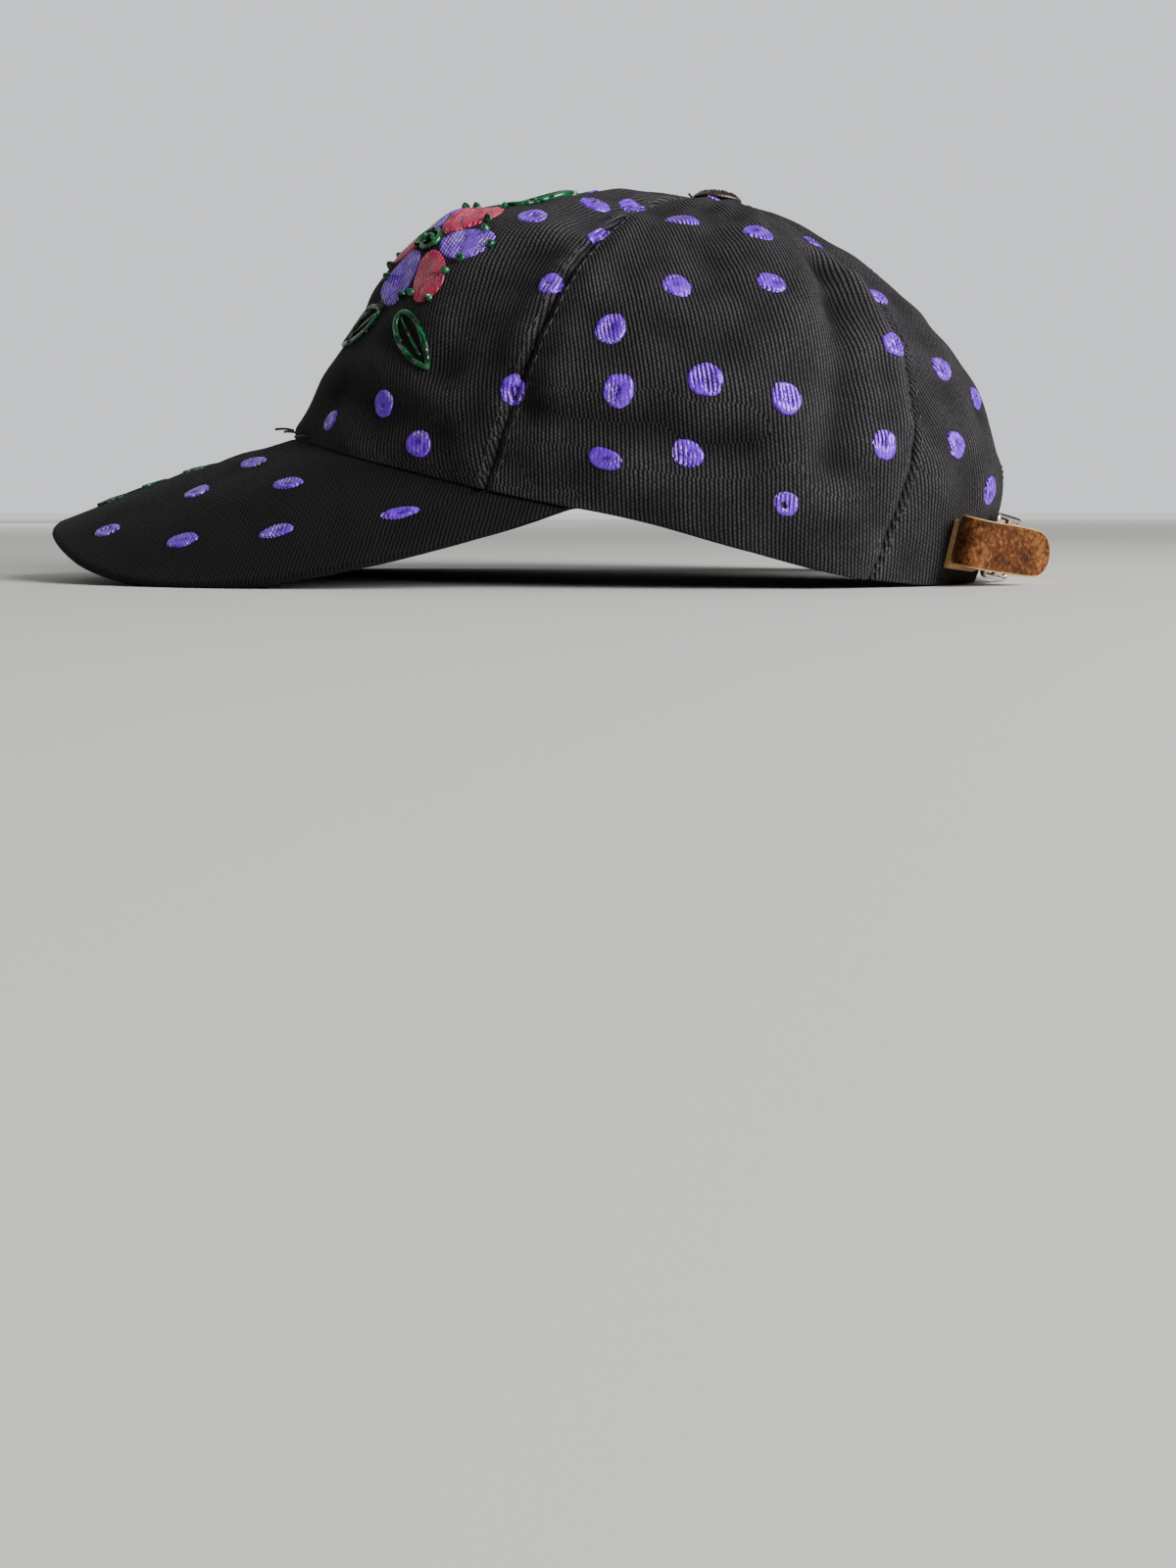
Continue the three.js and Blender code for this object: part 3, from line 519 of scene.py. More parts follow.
def gore(name, node, first_seam, side):
    """One gore, shaped on a sheet and given its thickness inwards"""
    sheet, across, upward = grid(GORE_COLUMNS, GORE_ROWS)
    last_seam = list(SEAMS)[first_seam + 1]
    has_opening = last_seam == "back_centre"
    if has_opening:
        split = GORE_ROWS_BESIDE_OPENING / GORE_ROWS
        beside = opening_level * np.sin(np.minimum(upward / split, 1) * math.pi / 2)
        above = (CROWN_TOP_LEVEL - opening_level) * np.maximum(upward - split, 0) / (1 - split)
        level = beside + above
    else:
        level = CROWN_TOP_LEVEL * upward
    low = seam_azimuth(list(SEAMS)[first_seam], level)
    high = seam_azimuth(last_seam, level)
    if has_opening:
        high = np.minimum(high, opening_azimuth(level))
    if side < 0:
        across = 1 - across
    crowded = 0.5 - 0.5 * np.cos(math.pi * across)
    share = EDGE_CROWDING * crowded + (1 - EDGE_CROWDING) * across
    azimuth = side * (low + (high - low) * share)
    hem = -HEM_ROLL * np.exp(-(level * CLOTH_LENGTH / HEM_ROLL_WIDTH) ** 2)
    points = crown(azimuth, level, hem)
    at_rim = level < 1e-9
    points[at_rim, 2] = rim_height(azimuth[at_rim])
    ribs = cloth_place(azimuth, level, first_seam)
    shape(sheet, at_rest(points), (*ribs, fade_and_highlight_at(azimuth, level)))
    bmesh.ops.solidify(sheet, geom=sheet.faces[:], thickness=CLOTH_THICKNESS)
    for vert in sheet.verts:
        vert.co.z = max(vert.co.z, 0)
    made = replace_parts(piece(sheet, name, crown_twill), node)
    return subdivided(made, 1)


for side_name, side in (("left", 1), ("right", -1)):
    for first_seam, place in enumerate(("front", "side", "back")):
        gore(f"gore_{place}_{side_name}", f"panel_{place}_{side_name}", first_seam, side)


# Peak: a stiff board covered in the same twill, with its ribs laid across, and sewn in under the
# front of the rim. Its cloth is drawn round the edge, which is rounded and the most rubbed part.
PEAK_LENGTH = 0.070
PEAK_DROP = 0.033
PEAK_CORNER_AZIMUTH = math.radians(69)
PEAK_THICKNESS = 0.0032
PEAK_CORNER_THICKNESS = 0.0016
PEAK_THINNING_LENGTH = 0.019
PEAK_TUCK = 0.0014
PEAK_CAMBER = 0.0016
PEAK_EDGE_ROUND = 0.0011
SEWN_GAP = 0.0003
PEAK_RIB_LEAN = math.radians(14)
PEAK_COLUMNS = 150
PEAK_ROWS = 64
PEAK_EDGE_SHARE = 0.08
PEAK_RIPPLE = 0.00008
PEAK_EDGE_WEAR = 0.007
PEAK_WEAR = 0.10
PEAK_TUCK_REACH = 0.0008
PEAK_SMOOTHEST = 1.6

# Outer edge from the tip to the corner: way round to it, half width, way forward and drop, as shares
PEAK_EDGE_COLUMNS = ["along", "across", "out", "drop"]
PEAK_EDGES = np.array([
    (0.00, 0.000, 1.000, 0.66),
    (0.18, 0.310, 0.962, 0.74),
    (0.36, 0.590, 0.868, 0.90),
    (0.52, 0.790, 0.735, 0.97),
    (0.68, 0.940, 0.560, 0.88),
    (0.82, 1.020, 0.350, 0.62),
    (0.92, 1.030, 0.165, 0.33),
    (1.00, 1.000, 0.000, 0.00),
])


def level_outward(azimuth):
    """Direction out of the rim, along the table"""
    flat = outward(smooth_crown, azimuth, np.zeros_like(azimuth))
    flat[..., 2] = 0
    return flat / np.linalg.norm(flat, axis=-1, keepdims=True)


def peak_seat(share, depth=CLOTH_THICKNESS):
    """Line under the rim, at a depth behind the crown's outer face"""
    azimuth = share * PEAK_CORNER_AZIMUTH
    rim = crown(azimuth, np.zeros_like(azimuth))
    rim[..., 2] = rim_height(azimuth) - SEWN_GAP
    return rim - level_outward(azimuth) * depth


def peak_edge(share):
    """Outer edge of the peak, at a share of the way from its tip round to a corner"""
    corner = peak_seat(np.array([1.0]))[0]
    column = dict(zip(PEAK_EDGE_COLUMNS, PEAK_EDGES.T))
    place = np.interp(np.abs(share), column["along"], np.arange(len(PEAK_EDGES)))
    across, out, drop = (between(column[name], place) for name in ("across", "out", "drop"))
    tip = FRONT_REACH + PEAK_LENGTH
    x = np.sign(share) * corner[0] * across
    y = corner[1] + (-tip - corner[1]) * out
    return np.stack([x, y, corner[2] - PEAK_DROP * drop], axis=-1)


def peak_top(share, reach):
    """A place on the upper face, ruled from the rim to the edge with a slight camber"""
    seat = peak_seat(share)
    edge = peak_edge(share)
    width = np.linalg.norm(edge - seat, axis=-1)
    points = seat + (edge - seat) * reach[..., None]
    camber = PEAK_CAMBER * np.minimum(1, width / PEAK_LENGTH) * np.sin(math.pi * reach)
    points[..., 2] += camber
    return points


def peak_normal(share, reach, step=0.02):
    """Unit normal of the upper face"""
    inside = np.clip(share, -0.97, 0.97)
    around = peak_top(inside + step, reach) - peak_top(inside - step, reach)
    low = np.maximum(reach - step, 0)
    high = np.minimum(reach + step, 1)
    ahead = peak_top(inside, high) - peak_top(inside, low)
    normal = np.cross(around, ahead)
    normal *= np.where(normal[..., 2:] < 0, -1, 1)
    return normal / np.linalg.norm(normal, axis=-1, keepdims=True)


def peak_thickness(share):
    """The board is thinned towards both corners, where it runs out under the rim"""
    from_corner = PEAK_CORNER_AZIMUTH * SIDE_REACH * (1 - np.abs(share))
    thicker = eased(from_corner, 0, PEAK_THINNING_LENGTH)
    return PEAK_CORNER_THICKNESS + (PEAK_THICKNESS - PEAK_CORNER_THICKNESS) * thicker


def peak_cloth(share, reach, points):
    """Place on the peak's cloth, across its ribs and along them"""
    lean_cos, lean_sin = math.cos(PEAK_RIB_LEAN), math.sin(PEAK_RIB_LEAN)
    across = points[..., 1] * lean_cos + points[..., 0] * lean_sin
    return across, points[..., 0] * lean_cos - points[..., 1] * lean_sin


def peak_lift(points):
    """Faint unevenness of cloth that is glued and drawn over board"""
    finer = points * PEAK_SMOOTHEST
    return PEAK_RIPPLE / CRUMPLE_DEPTH * crumple(finer[..., 0], finer[..., 1])


sheet, across, around = grid(PEAK_COLUMNS, PEAK_ROWS)
share = np.sin((across * 2 - 1) * math.pi / 2)
width = np.linalg.norm(peak_edge(share) - peak_seat(share), axis=-1)
last_reach = np.maximum(1 - PEAK_EDGE_ROUND / np.maximum(width, 1e-6), 0.6)
to_edge = (1 - PEAK_EDGE_SHARE) / 2
above = np.clip(around / to_edge, 0, 1)
below = np.clip((1 - around) / to_edge, 0, 1)
round_edge = np.clip((around - to_edge) / PEAK_EDGE_SHARE, 0, 1)
reach = last_reach * np.where(around < 0.5, above, below)
normal = peak_normal(share, reach)
thickness = peak_thickness(share)
out = peak_edge(share) - peak_seat(share)
out /= np.linalg.norm(out, axis=-1, keepdims=True)
swing = round_edge * math.pi
nose = np.minimum(PEAK_EDGE_ROUND, width * 0.4)
points = peak_top(share, reach)
points += out * (nose * np.sin(swing))[..., None]
points -= normal * (thickness * (1 - np.cos(swing)) / 2)[..., None]
points += normal * (peak_lift(points) * np.sin(math.pi * reach))[..., None]
tucked = np.exp(-(reach * width / PEAK_TUCK_REACH) ** 2) * PEAK_TUCK
points -= level_outward(share * PEAK_CORNER_AZIMUTH) * tucked[..., None]
near_edge = np.exp(-(((1 - reach) * width) / PEAK_EDGE_WEAR) ** 2)
fade = np.clip(PEAK_WEAR + 0.55 * near_edge * (1 - 0.6 * np.abs(np.cos(swing))), 0, 1)
shape(sheet, at_rest(points), (*peak_cloth(share, reach, points), fade))
bmesh.ops.remove_doubles(sheet, verts=sheet.verts[:], dist=1e-6)
bmesh.ops.holes_fill(sheet, edges=sheet.edges[:], sides=0)
bmesh.ops.recalc_face_normals(sheet, faces=sheet.faces[:])
# The first colour is the painted shade in the peak's grooves
peak_twill = twill("peak_twill", colour(9, 9, 9), colour(16, 15, 15), colour(42, 40, 39), 0.8)
covered_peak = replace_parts(piece(sheet, "covered_peak", peak_twill), "peak")


# Painted dots: thick fabric paint, dabbed on by hand with a round tip that was turned as it was
# lifted, so that each dot has a ragged edge, a swirled dimple and the twill's ribs showing through.
# Each row has a dot's azimuth in degrees, its level, and its width and height in metres.
CROWN_DOTS = [
    (42.5, 0.53, 0.0080, 0.0070), (47.5, 0.65, 0.0080, 0.0070), (54.5, 0.71, 0.0080, 0.0065),
    (59.5, 0.54, 0.0050, 0.0075), (77.5, 0.63, 0.0090, 0.0065), (99.5, 0.62, 0.0080, 0.0070),
    (57.0, 0.39, 0.0070, 0.0070), (81.0, 0.43, 0.0074, 0.0074), (100.5, 0.48, 0.0076, 0.0066),
    (71.0, 0.32, 0.0080, 0.0082), (74.5, 0.21, 0.0076, 0.0084), (88.5, 0.26, 0.0088, 0.0084),
    (102.5, 0.26, 0.0078, 0.0084), (87.0, 0.13, 0.0080, 0.0068), (73.5, 0.09, 0.0086, 0.0050),
    (104.5, 0.09, 0.0066, 0.0062), (126.5, 0.40, 0.0074, 0.0066), (121.2, 0.22, 0.0074, 0.0074),
    (136.0, 0.54, 0.0068, 0.0066), (141.0, 0.38, 0.0070, 0.0068), (154.5, 0.34, 0.0076, 0.0064),
    (138.5, 0.24, 0.0066, 0.0074), (149.0, 0.17, 0.0066, 0.0076), (56.5, 0.18, 0.0066, 0.0078),
    (33.5, 0.10, 0.0070, 0.0066), (22.0, 0.05, 0.0062, 0.0064), (42.0, 0.05, 0.0072, 0.0074),
    (84.0, 0.86, 0.0036, 0.0024), (125.0, 0.68, 0.0072, 0.0064), (152.0, 0.62, 0.0070, 0.0068),
    (168.0, 0.46, 0.0072, 0.0070), (172.0, 0.66, 0.0066, 0.0064), (20.0, 0.74, 0.0074, 0.0066),
    (-8.0, 0.84, 0.0066, 0.0060), (-24.0, 0.71, 0.0078, 0.0066), (-46.0, 0.60, 0.0076, 0.0070),
    (-50.0, 0.44, 0.0072, 0.0074), (-66.0, 0.70, 0.0078, 0.0064), (-71.0, 0.50, 0.0076, 0.0072),
    (-92.0, 0.60, 0.0076, 0.0068), (-108.0, 0.74, 0.0070, 0.0062), (-68.0, 0.27, 0.0084, 0.0080),
    (-88.0, 0.38, 0.0082, 0.0078), (-106.0, 0.45, 0.0076, 0.0074), (-79.0, 0.14, 0.0078, 0.0074),
    (-98.0, 0.22, 0.0084, 0.0078), (-114.0, 0.12, 0.0070, 0.0070), (-96.0, 0.06, 0.0066, 0.0056),
    (-62.0, 0.10, 0.0076, 0.0066), (-46.0, 0.23, 0.0070, 0.0076), (-40.0, 0.07, 0.0072, 0.0066),
    (-24.0, 0.06, 0.0066, 0.0064), (-127.0, 0.32, 0.0074, 0.0072), (-133.0, 0.56, 0.0072, 0.0066),
    (-142.0, 0.42, 0.0074, 0.0070), (-132.0, 0.17, 0.0068, 0.0072), (-152.0, 0.24, 0.0070, 0.0074),
    (-158.0, 0.52, 0.0070, 0.0068), (-166.0, 0.36, 0.0070, 0.0066), (-148.0, 0.74, 0.0066, 0.0060),
]

# The same on the peak: share of the way round to its corner, and of the way out to its edge
PEAK_DOTS = [
    (0.25, 0.24, 0.0078, 0.0074), (0.45, 0.28, 0.0074, 0.0074), (0.74, 0.37, 0.0080, 0.0076),
    (0.30, 0.49, 0.0072, 0.0076), (0.60, 0.59, 0.0080, 0.0076), (0.47, 0.73, 0.0074, 0.0078),
    (0.29, 0.83, 0.0068, 0.0072), (-0.22, 0.30, 0.0076, 0.0074), (-0.43, 0.24, 0.0072, 0.0074),
    (-0.70, 0.34, 0.0078, 0.0076), (-0.36, 0.55, 0.0076, 0.0072), (-0.58, 0.62, 0.0080, 0.0074),
    (-0.45, 0.82, 0.0072, 0.0070), (-0.20, 0.80, 0.0070, 0.0072),
]
PAINT_THICKNESS = 0.00042
PAINT_SUNK = 0.00012
PAINT_RIM = 0.80
DIMPLE_PLACE = 0.16
DIMPLE_WIDTH = 0.26
DIMPLE_DEPTHS = (0.25, 0.85)
SWIRL_HEIGHT = 0.00016
DOT_STEPS = 16

paint_draw = np.random.default_rng(11)


def round_sheet(steps):
    """A flat sheet with its points drawn into a disc, as places from -1 to 1"""
    sheet, across, upward = grid(steps, steps)
    square_x = across * 2 - 1
    square_y = upward * 2 - 1
    x = square_x * np.sqrt(1 - square_y ** 2 / 2)
    y = square_y * np.sqrt(1 - square_x ** 2 / 2)
    return sheet, x, y


def ragged(angle, starts, depth):
    """Uneven outline of a dab of paint, close to 1"""
    outline = 1.0
    for lobes, start in zip((2, 3, 5, 9), starts):
        outline = outline + depth / lobes ** 0.7 * np.sin(lobes * angle + start)
    return outline


def dab_height(x, y, start):
    """Thickness of a dab over its disc, with the swirl that the tip left"""
    radius = np.hypot(x, y)
    edge = 1 - np.clip((radius - PAINT_RIM) / (1 - PAINT_RIM), 0, 1) ** 2
    offset = np.hypot(x - DIMPLE_PLACE * math.cos(start), y - DIMPLE_PLACE * math.sin(start))
    dimple = np.exp(-(offset / DIMPLE_WIDTH) ** 2)
    swirl = SWIRL_HEIGHT * np.cos(9 * offset + np.arctan2(y, x) + start) * np.exp(-(offset / 0.55) ** 2)
    depth = paint_draw.uniform(*DIMPLE_DEPTHS)
    height = PAINT_THICKNESS * edge * (1 - depth * dimple) + swirl * edge
    return height - PAINT_SUNK * (radius > 0.999), dimple


def dab_on(target, surface, place, sizes, cloth_of, scale):
    """One dab of paint on a surface that is given by two coordinates. scale gives how far each of
    them goes in a metre."""
    dab, x, y = round_sheet(DOT_STEPS)
    starts = paint_draw.uniform(0, 2 * math.pi, 5)
    outline = ragged(np.arctan2(y, x), starts, 0.055)
    first = place[0] + x * outline * sizes[0] / 2 * scale[0]
    second = place[1] + y * outline * sizes[1] / 2 * scale[1]
    height, dimple = dab_height(x, y, starts[4])
    points = surface(first, second, height)
    rib_across, rib_along = cloth_of(first, second, points)
    shape(dab, at_rest(points), (rib_across, rib_along, dimple))
    bmesh.ops.solidify(dab, geom=dab.faces[:], thickness=PAINT_SUNK * 2)
    add_to(target, dab)


def add_to(target, part):
    """Puts a small finished bmesh into the one that collects its kind"""
    scrap = bpy.data.meshes.new("scrap")
    part.to_mesh(scrap)
    part.free()
    target.from_mesh(scrap)
    bpy.data.meshes.remove(scrap)


def paint(name, thin_and_shaded, middle, painted_highlight, gloss=0.24):
    """Glossy acrylic paint over twill. It is thin on the ribs' sides and thick on their tops. Its deep
    colour in the grooves and each dab's dimple is partly thin paint over black cloth and partly painted
    shade; its bright colour on the rib tops and brushed streaks is a painted highlight.
    """
    made, tree, shader = new_material(name)
    rib, dimple = twill_ribs(tree)
    brushed = grain(tree, 0.0021, 2.0)
    pooled = ramp(tree, grain(tree, 0.0052, 1.0), 0.38, 0.56)
    thin = work(tree, "SUBTRACT", 1.0, work(tree, "MULTIPLY", pooled, 0.85))
    rib = work(tree, "MULTIPLY_ADD", work(tree, "SUBTRACT", rib, 0.6), thin, 0.6)
    spread = work(tree, "MULTIPLY_ADD", brushed, 0.7, work(tree, "MULTIPLY_ADD", rib, 1.1, -0.56))
    # Painted shade in each dab's dimple
    spread = work(tree, "MULTIPLY_ADD", dimple, -0.40, spread)
    body = blend(tree, ramp(tree, spread, 0.0, 0.46), thin_and_shaded, middle)
    # Painted highlight on the rib tops and brushed streaks
    feed(tree, shader.inputs["Base Color"], blend(tree, ramp(tree, spread, 0.50, 0.95), body, painted_highlight))
    height = work(tree, "MULTIPLY_ADD", rib, 1.0, work(tree, "MULTIPLY", brushed, 0.35))
    height = work(tree, "MULTIPLY_ADD", pooled, 1.2, height)
    feed(tree, shader.inputs["Normal"], bumped(tree, height, 0.00055))
    shader.inputs["Roughness"].default_value = gloss
    shader.inputs["Specular IOR Level"].default_value = 0.6
    return made


def crown_reach(azimuth, level):
    """How far a place on the crown is from the line through the button"""
    flat = smooth_crown(azimuth, level)
    return np.hypot(flat[..., 0], flat[..., 1])


def level_per_metre(azimuth, level, step=0.01):
    """How much of a level one metre of cloth covers on the way up"""
    climb = smooth_crown(azimuth, level + step) - smooth_crown(azimuth, level)
    return step / np.linalg.norm(climb)


def crown_cloth(azimuth, level, points):
    """Place on the crown's cloth, across its ribs and along them"""
    return cloth_place(wrapped(azimuth), level)


def on_peak(share, reach, lift):
    """A place on the peak's upper face, lifted off it"""
    points = peak_top(share, reach)
    height = peak_lift(points) * np.sin(math.pi * reach) + lift
    return points + peak_normal(share, reach) * height[..., None]


# Colours: painted shade, the paint's own colour, painted highlight
purple_paint = paint("purple_paint", colour(30, 8, 70), colour(108, 24, 212), colour(186, 116, 255))
dots = bmesh.new()
dots.verts.layers.float_vector.new("cloth")
for azimuth, level, wide, tall in CROWN_DOTS:
    place = (math.radians(azimuth), level)
    around = 1 / crown_reach(np.array(place[0]), np.array(level))
    scale = (around, level_per_metre(np.array(place[0]), np.array(level)))
    dab_on(dots, crown, place, (wide, tall), crown_cloth, scale)
for share, reach, wide, tall in PEAK_DOTS:
    here = peak_top(np.array([share, share + 0.01]), np.array([reach, reach]))
    out_length = np.linalg.norm(peak_edge(np.array([share])) - peak_seat(np.array([share])))
    scale = (0.01 / np.linalg.norm(here[1] - here[0]), 1 / out_length)
    dab_on(dots, on_peak, (share, reach), (wide, tall), peak_cloth, scale)
piece(dots, "painted_dots", purple_paint)


# Painted flowers on the two front gores and a sprig on the peak: flat petals brushed on in two
# colours, then leaves, stems and small raised points squeezed out of a fine nozzle in green.
FLOWERS = [
    {"azimuth": math.radians(27), "level": 0.405, "turn": math.radians(12)},
    {"azimuth": math.radians(-27), "level": 0.405, "turn": math.radians(-12)},
]
PETALS = 6
PETAL_START = 0.0034
PETAL_LENGTH = 0.0168
PETAL_WIDTH = 0.0138
PETAL_STEPS = 24
PETAL_PAINT = 0.00028
POINTS_PER_PETAL = 3
POINTS_SPREAD = 1.25
POINT_RADIUS = 0.00125
POINT_HEIGHT = 0.0014
LINE_RADIUS = 0.00080
LINE_SUNK = 0.00025
HEART_TURNS = 1.6
HEART_RADIUS = 0.0040
HEART_POINTS = 60
VEIN_POINTS = 12
VEIN_REACH = (0.08, 0.80)
STEM_POINTS = 40
SPRIG_LEAF_POINTS = 18


def near_flower(flower, x, y, lift=0.0):
    """A place on the crown, in metres across and up from the middle of a flower"""
    up = level_per_metre(np.array(flower["azimuth"]), np.array(flower["level"]))
    level = np.clip(flower["level"] + y * up, 0.005, 0.97)
    azimuth = flower["azimuth"] + x / crown_reach(np.full_like(level, flower["azimuth"]), level)
    return crown(azimuth, level, lift), azimuth, level


def petal_outline(turn, facing):
    """Edge of a petal at a turn round it, in metres from the flower's middle"""
    along = PETAL_START + PETAL_LENGTH * (1 + np.cos(turn)) / 2
    taper = 0.62 + 0.38 * (along - PETAL_START) / PETAL_LENGTH
    side = PETAL_WIDTH / 2 * np.sin(turn) * taper
    x = along * math.cos(facing) - side * math.sin(facing)
    y = along * math.sin(facing) + side * math.cos(facing)
    return x, y


def petal(target, flower, facing):
    """A flat petal of brushed paint, thinner at its ragged rim"""
    sheet, x, y = round_sheet(PETAL_STEPS)
    turn = np.arctan2(y, x)
    radius = np.hypot(x, y)
    starts = paint_draw.uniform(0, 2 * math.pi, 5)
    edge_x, edge_y = petal_outline(turn, facing)
    ends = petal_outline(np.array([0.0, math.pi]), facing)
    middle_x, middle_y = (np.mean(values) for values in ends)
    share = radius * ragged(turn, starts, 0.03)
    place_x = middle_x + (edge_x - middle_x) * share
    place_y = middle_y + (edge_y - middle_y) * share
    strokes = 0.25 * np.sin(place_x * 900 + place_y * 300 + starts[0])
    rim = 1 - np.clip((radius - 0.93) / 0.07, 0, 1) ** 2
    lift = PETAL_PAINT * (1 + strokes) * rim - PAINT_SUNK * (radius > 0.999)
    points, azimuth, level = near_flower(flower, place_x, place_y, lift)
    ribs = cloth_place(azimuth, level)
    shape(sheet, at_rest(points), (*ribs, np.zeros_like(radius)))
    bmesh.ops.solidify(sheet, geom=sheet.faces[:], thickness=PAINT_SUNK * 2)
    add_to(target, sheet)


def standing(place, direction):
    """Turn and place of a small thing whose own Z stands along a direction"""
    turn = Vector(direction).to_track_quat("Z", "Y").to_matrix().to_4x4()
    return Matrix.Translation(Vector(place)) @ turn


def raised_point(target, place, direction):
    """A round drop of paint that was drawn up to a small tip"""
    stretch = Matrix.Diagonal((POINT_RADIUS, POINT_RADIUS, POINT_HEIGHT, 1))
    drop = bmesh.new()
    bmesh.ops.create_uvsphere(drop, u_segments=12, v_segments=8, radius=1)
    for vert in drop.verts:
        vert.co.xy *= 1 - 0.35 * max(vert.co.z, 0)
    bmesh.ops.transform(drop, matrix=standing(place, direction) @ stretch, verts=drop.verts[:])
    add_to(target, drop)


def squeezed_line(target, points, radius=LINE_RADIUS, closed=False):
    """A bead of paint along a row of points"""
    curve = bpy.data.curves.new("line", "CURVE")
    curve.dimensions = "3D"
    curve.bevel_depth = radius
    curve.bevel_resolution = 3
    curve.use_fill_caps = True
    run = curve.splines.new("POLY")
    run.points.add(len(points) - 1)
    for spot, point in zip(run.points, points):
        spot.co = (*point, 1)
    run.use_cyclic_u = closed
    holder = bpy.data.objects.new("line", curve)
    mesh = bpy.data.meshes.new_from_object(holder)
    target.from_mesh(mesh)
    bpy.data.meshes.remove(mesh)
    bpy.data.objects.remove(holder)
    bpy.data.curves.remove(curve)


def leaf_run(base, facing, length, width, steps=26):
    """Outline of a leaf from its base, pointed at its far end"""
    turn = np.linspace(-math.pi, math.pi, steps)
    along = length * (1 + np.cos(turn)) / 2
    side = width / 2 * np.sin(turn) * (1 - along / length) ** 0.35
    x = base[0] + along * math.cos(facing) - side * math.sin(facing)
    y = base[1] + along * math.sin(facing) + side * math.cos(facing)
    return x, y


# Colours of each: painted shade, the paint's own colour, painted highlight
magenta_paint = paint("magenta_paint", colour(92, 4, 36), colour(186, 4, 68), colour(214, 36, 96), 0.36)
green_paint = paint("green_paint", colour(4, 44, 22), colour(12, 92, 48), colour(70, 150, 104), 0.25)
petal_colours = {"purple": (purple_paint, 0), "magenta": (magenta_paint, 1)}
for colour_name, (material, first) in petal_colours.items():
    petals = bmesh.new()
    petals.verts.layers.float_vector.new("cloth")
    for flower in FLOWERS:
        for index in range(first, PETALS, 2):
            petal(petals, flower, flower["turn"] + 2 * math.pi * index / PETALS)
    piece(petals, f"{colour_name}_petals", material)

# Leaves: where each starts, which way it points, its length and its width, for the left flower
LEAVES = [
    {"x": -0.006, "y": -0.021, "facing": math.radians(215), "length": 0.020, "width": 0.0085},
    {"x": 0.006, "y": -0.021, "facing": math.radians(-35), "length": 0.020, "width": 0.0085},
    {"x": 0.003, "y": 0.022, "facing": math.radians(76), "length": 0.017, "width": 0.0080},
]

green = bmesh.new()
green.verts.layers.float_vector.new("cloth")
for flower in FLOWERS:
    mirrored = math.copysign(1, flower["azimuth"])
    for index in range(PETALS):
        turns = np.linspace(-POINTS_SPREAD, POINTS_SPREAD, POINTS_PER_PETAL)
        x, y = petal_outline(turns, flower["turn"] + 2 * math.pi * index / PETALS)
        places, azimuths, levels = near_flower(flower, x, y, np.full(len(x), LINE_SUNK))
        directions = outward(smooth_crown, azimuths, levels)
        for place, direction in zip(at_rest(places), directions @ REST_TURN.T):
            raised_point(green, place, direction)
    turn = np.linspace(0, 2 * math.pi * HEART_TURNS, HEART_POINTS)
    spiral = HEART_RADIUS * (0.25 + 0.75 * turn / turn[-1])
    x = spiral * np.cos(turn) * mirrored
    places, _, _ = near_flower(flower, x, spiral * np.sin(turn), np.full(HEART_POINTS, LINE_SUNK * 2))
    squeezed_line(green, at_rest(places))
    for leaf in LEAVES:
        x, y = leaf_run((leaf["x"], leaf["y"]), leaf["facing"], leaf["length"], leaf["width"])
        places, _, _ = near_flower(flower, x * mirrored, y, np.full(len(x), LINE_SUNK))
        squeezed_line(green, at_rest(places))
        vein = np.linspace(*VEIN_REACH, VEIN_POINTS) * leaf["length"]
        x = (leaf["x"] + vein * math.cos(leaf["facing"])) * mirrored
        y = leaf["y"] + vein * math.sin(leaf["facing"])
        places, _, _ = near_flower(flower, x, y, np.full(VEIN_POINTS, LINE_SUNK / 2))
        squeezed_line(green, at_rest(places), LINE_RADIUS * 0.6)

# Sprig: places along its stem and at its leaves' tips, as shares of the peak round and outwards
SPRIG = [(-0.02, 0.30), (0.015, 0.42), (-0.01, 0.56), (0.02, 0.70), (0.0, 0.84)]
SPRIG_LEAVES = [(0.06, 0.44), (-0.06, 0.50), (0.07, 0.60), (-0.06, 0.67), (0.06, 0.77)]
stem_place = np.linspace(0, len(SPRIG) - 1, STEM_POINTS)
stem_share = between([row[0] for row in SPRIG], stem_place)
stem_reach = between([row[1] for row in SPRIG], stem_place)
stem = on_peak(stem_share, stem_reach, np.full(STEM_POINTS, LINE_SUNK))
squeezed_line(green, at_rest(stem), LINE_RADIUS * 0.8)
for share, reach in SPRIG_LEAVES:
    turn = np.linspace(-math.pi, math.pi, SPRIG_LEAF_POINTS)
    leaf_share = share * (0.15 + 0.85 * (1 + np.cos(turn)) / 2)
    leaf_reach = reach + 0.022 * np.sin(turn) + 0.03 * np.cos(turn)
    outline = on_peak(leaf_share, leaf_reach, np.full(SPRIG_LEAF_POINTS, LINE_SUNK))
    squeezed_line(green, at_rest(outline), LINE_RADIUS * 0.7)
piece(green, "green_paint_lines", green_paint)


# Topstitching: two rows of black polyester thread beside each seam of the crown, and one round the
# half-moon opening. Each stitch is a short float of thread that dips into the cloth at both ends.
STITCH_LENGTH = 0.0026
STITCH_GAP = 0.0008
STITCH_RADIUS = 0.00022
STITCH_LIFT = 0.00006
STITCH_SLANT = 0.07
ROW_FROM_SEAM = 0.0022
ROW_FROM_OPENING = 0.0030
ROW_LEVELS = (0.015, 0.93)
ROW_START_ABOVE_OPENING = 0.02
STITCH_UNEVENNESS = 0.00012

thread_draw = np.random.default_rng(23)


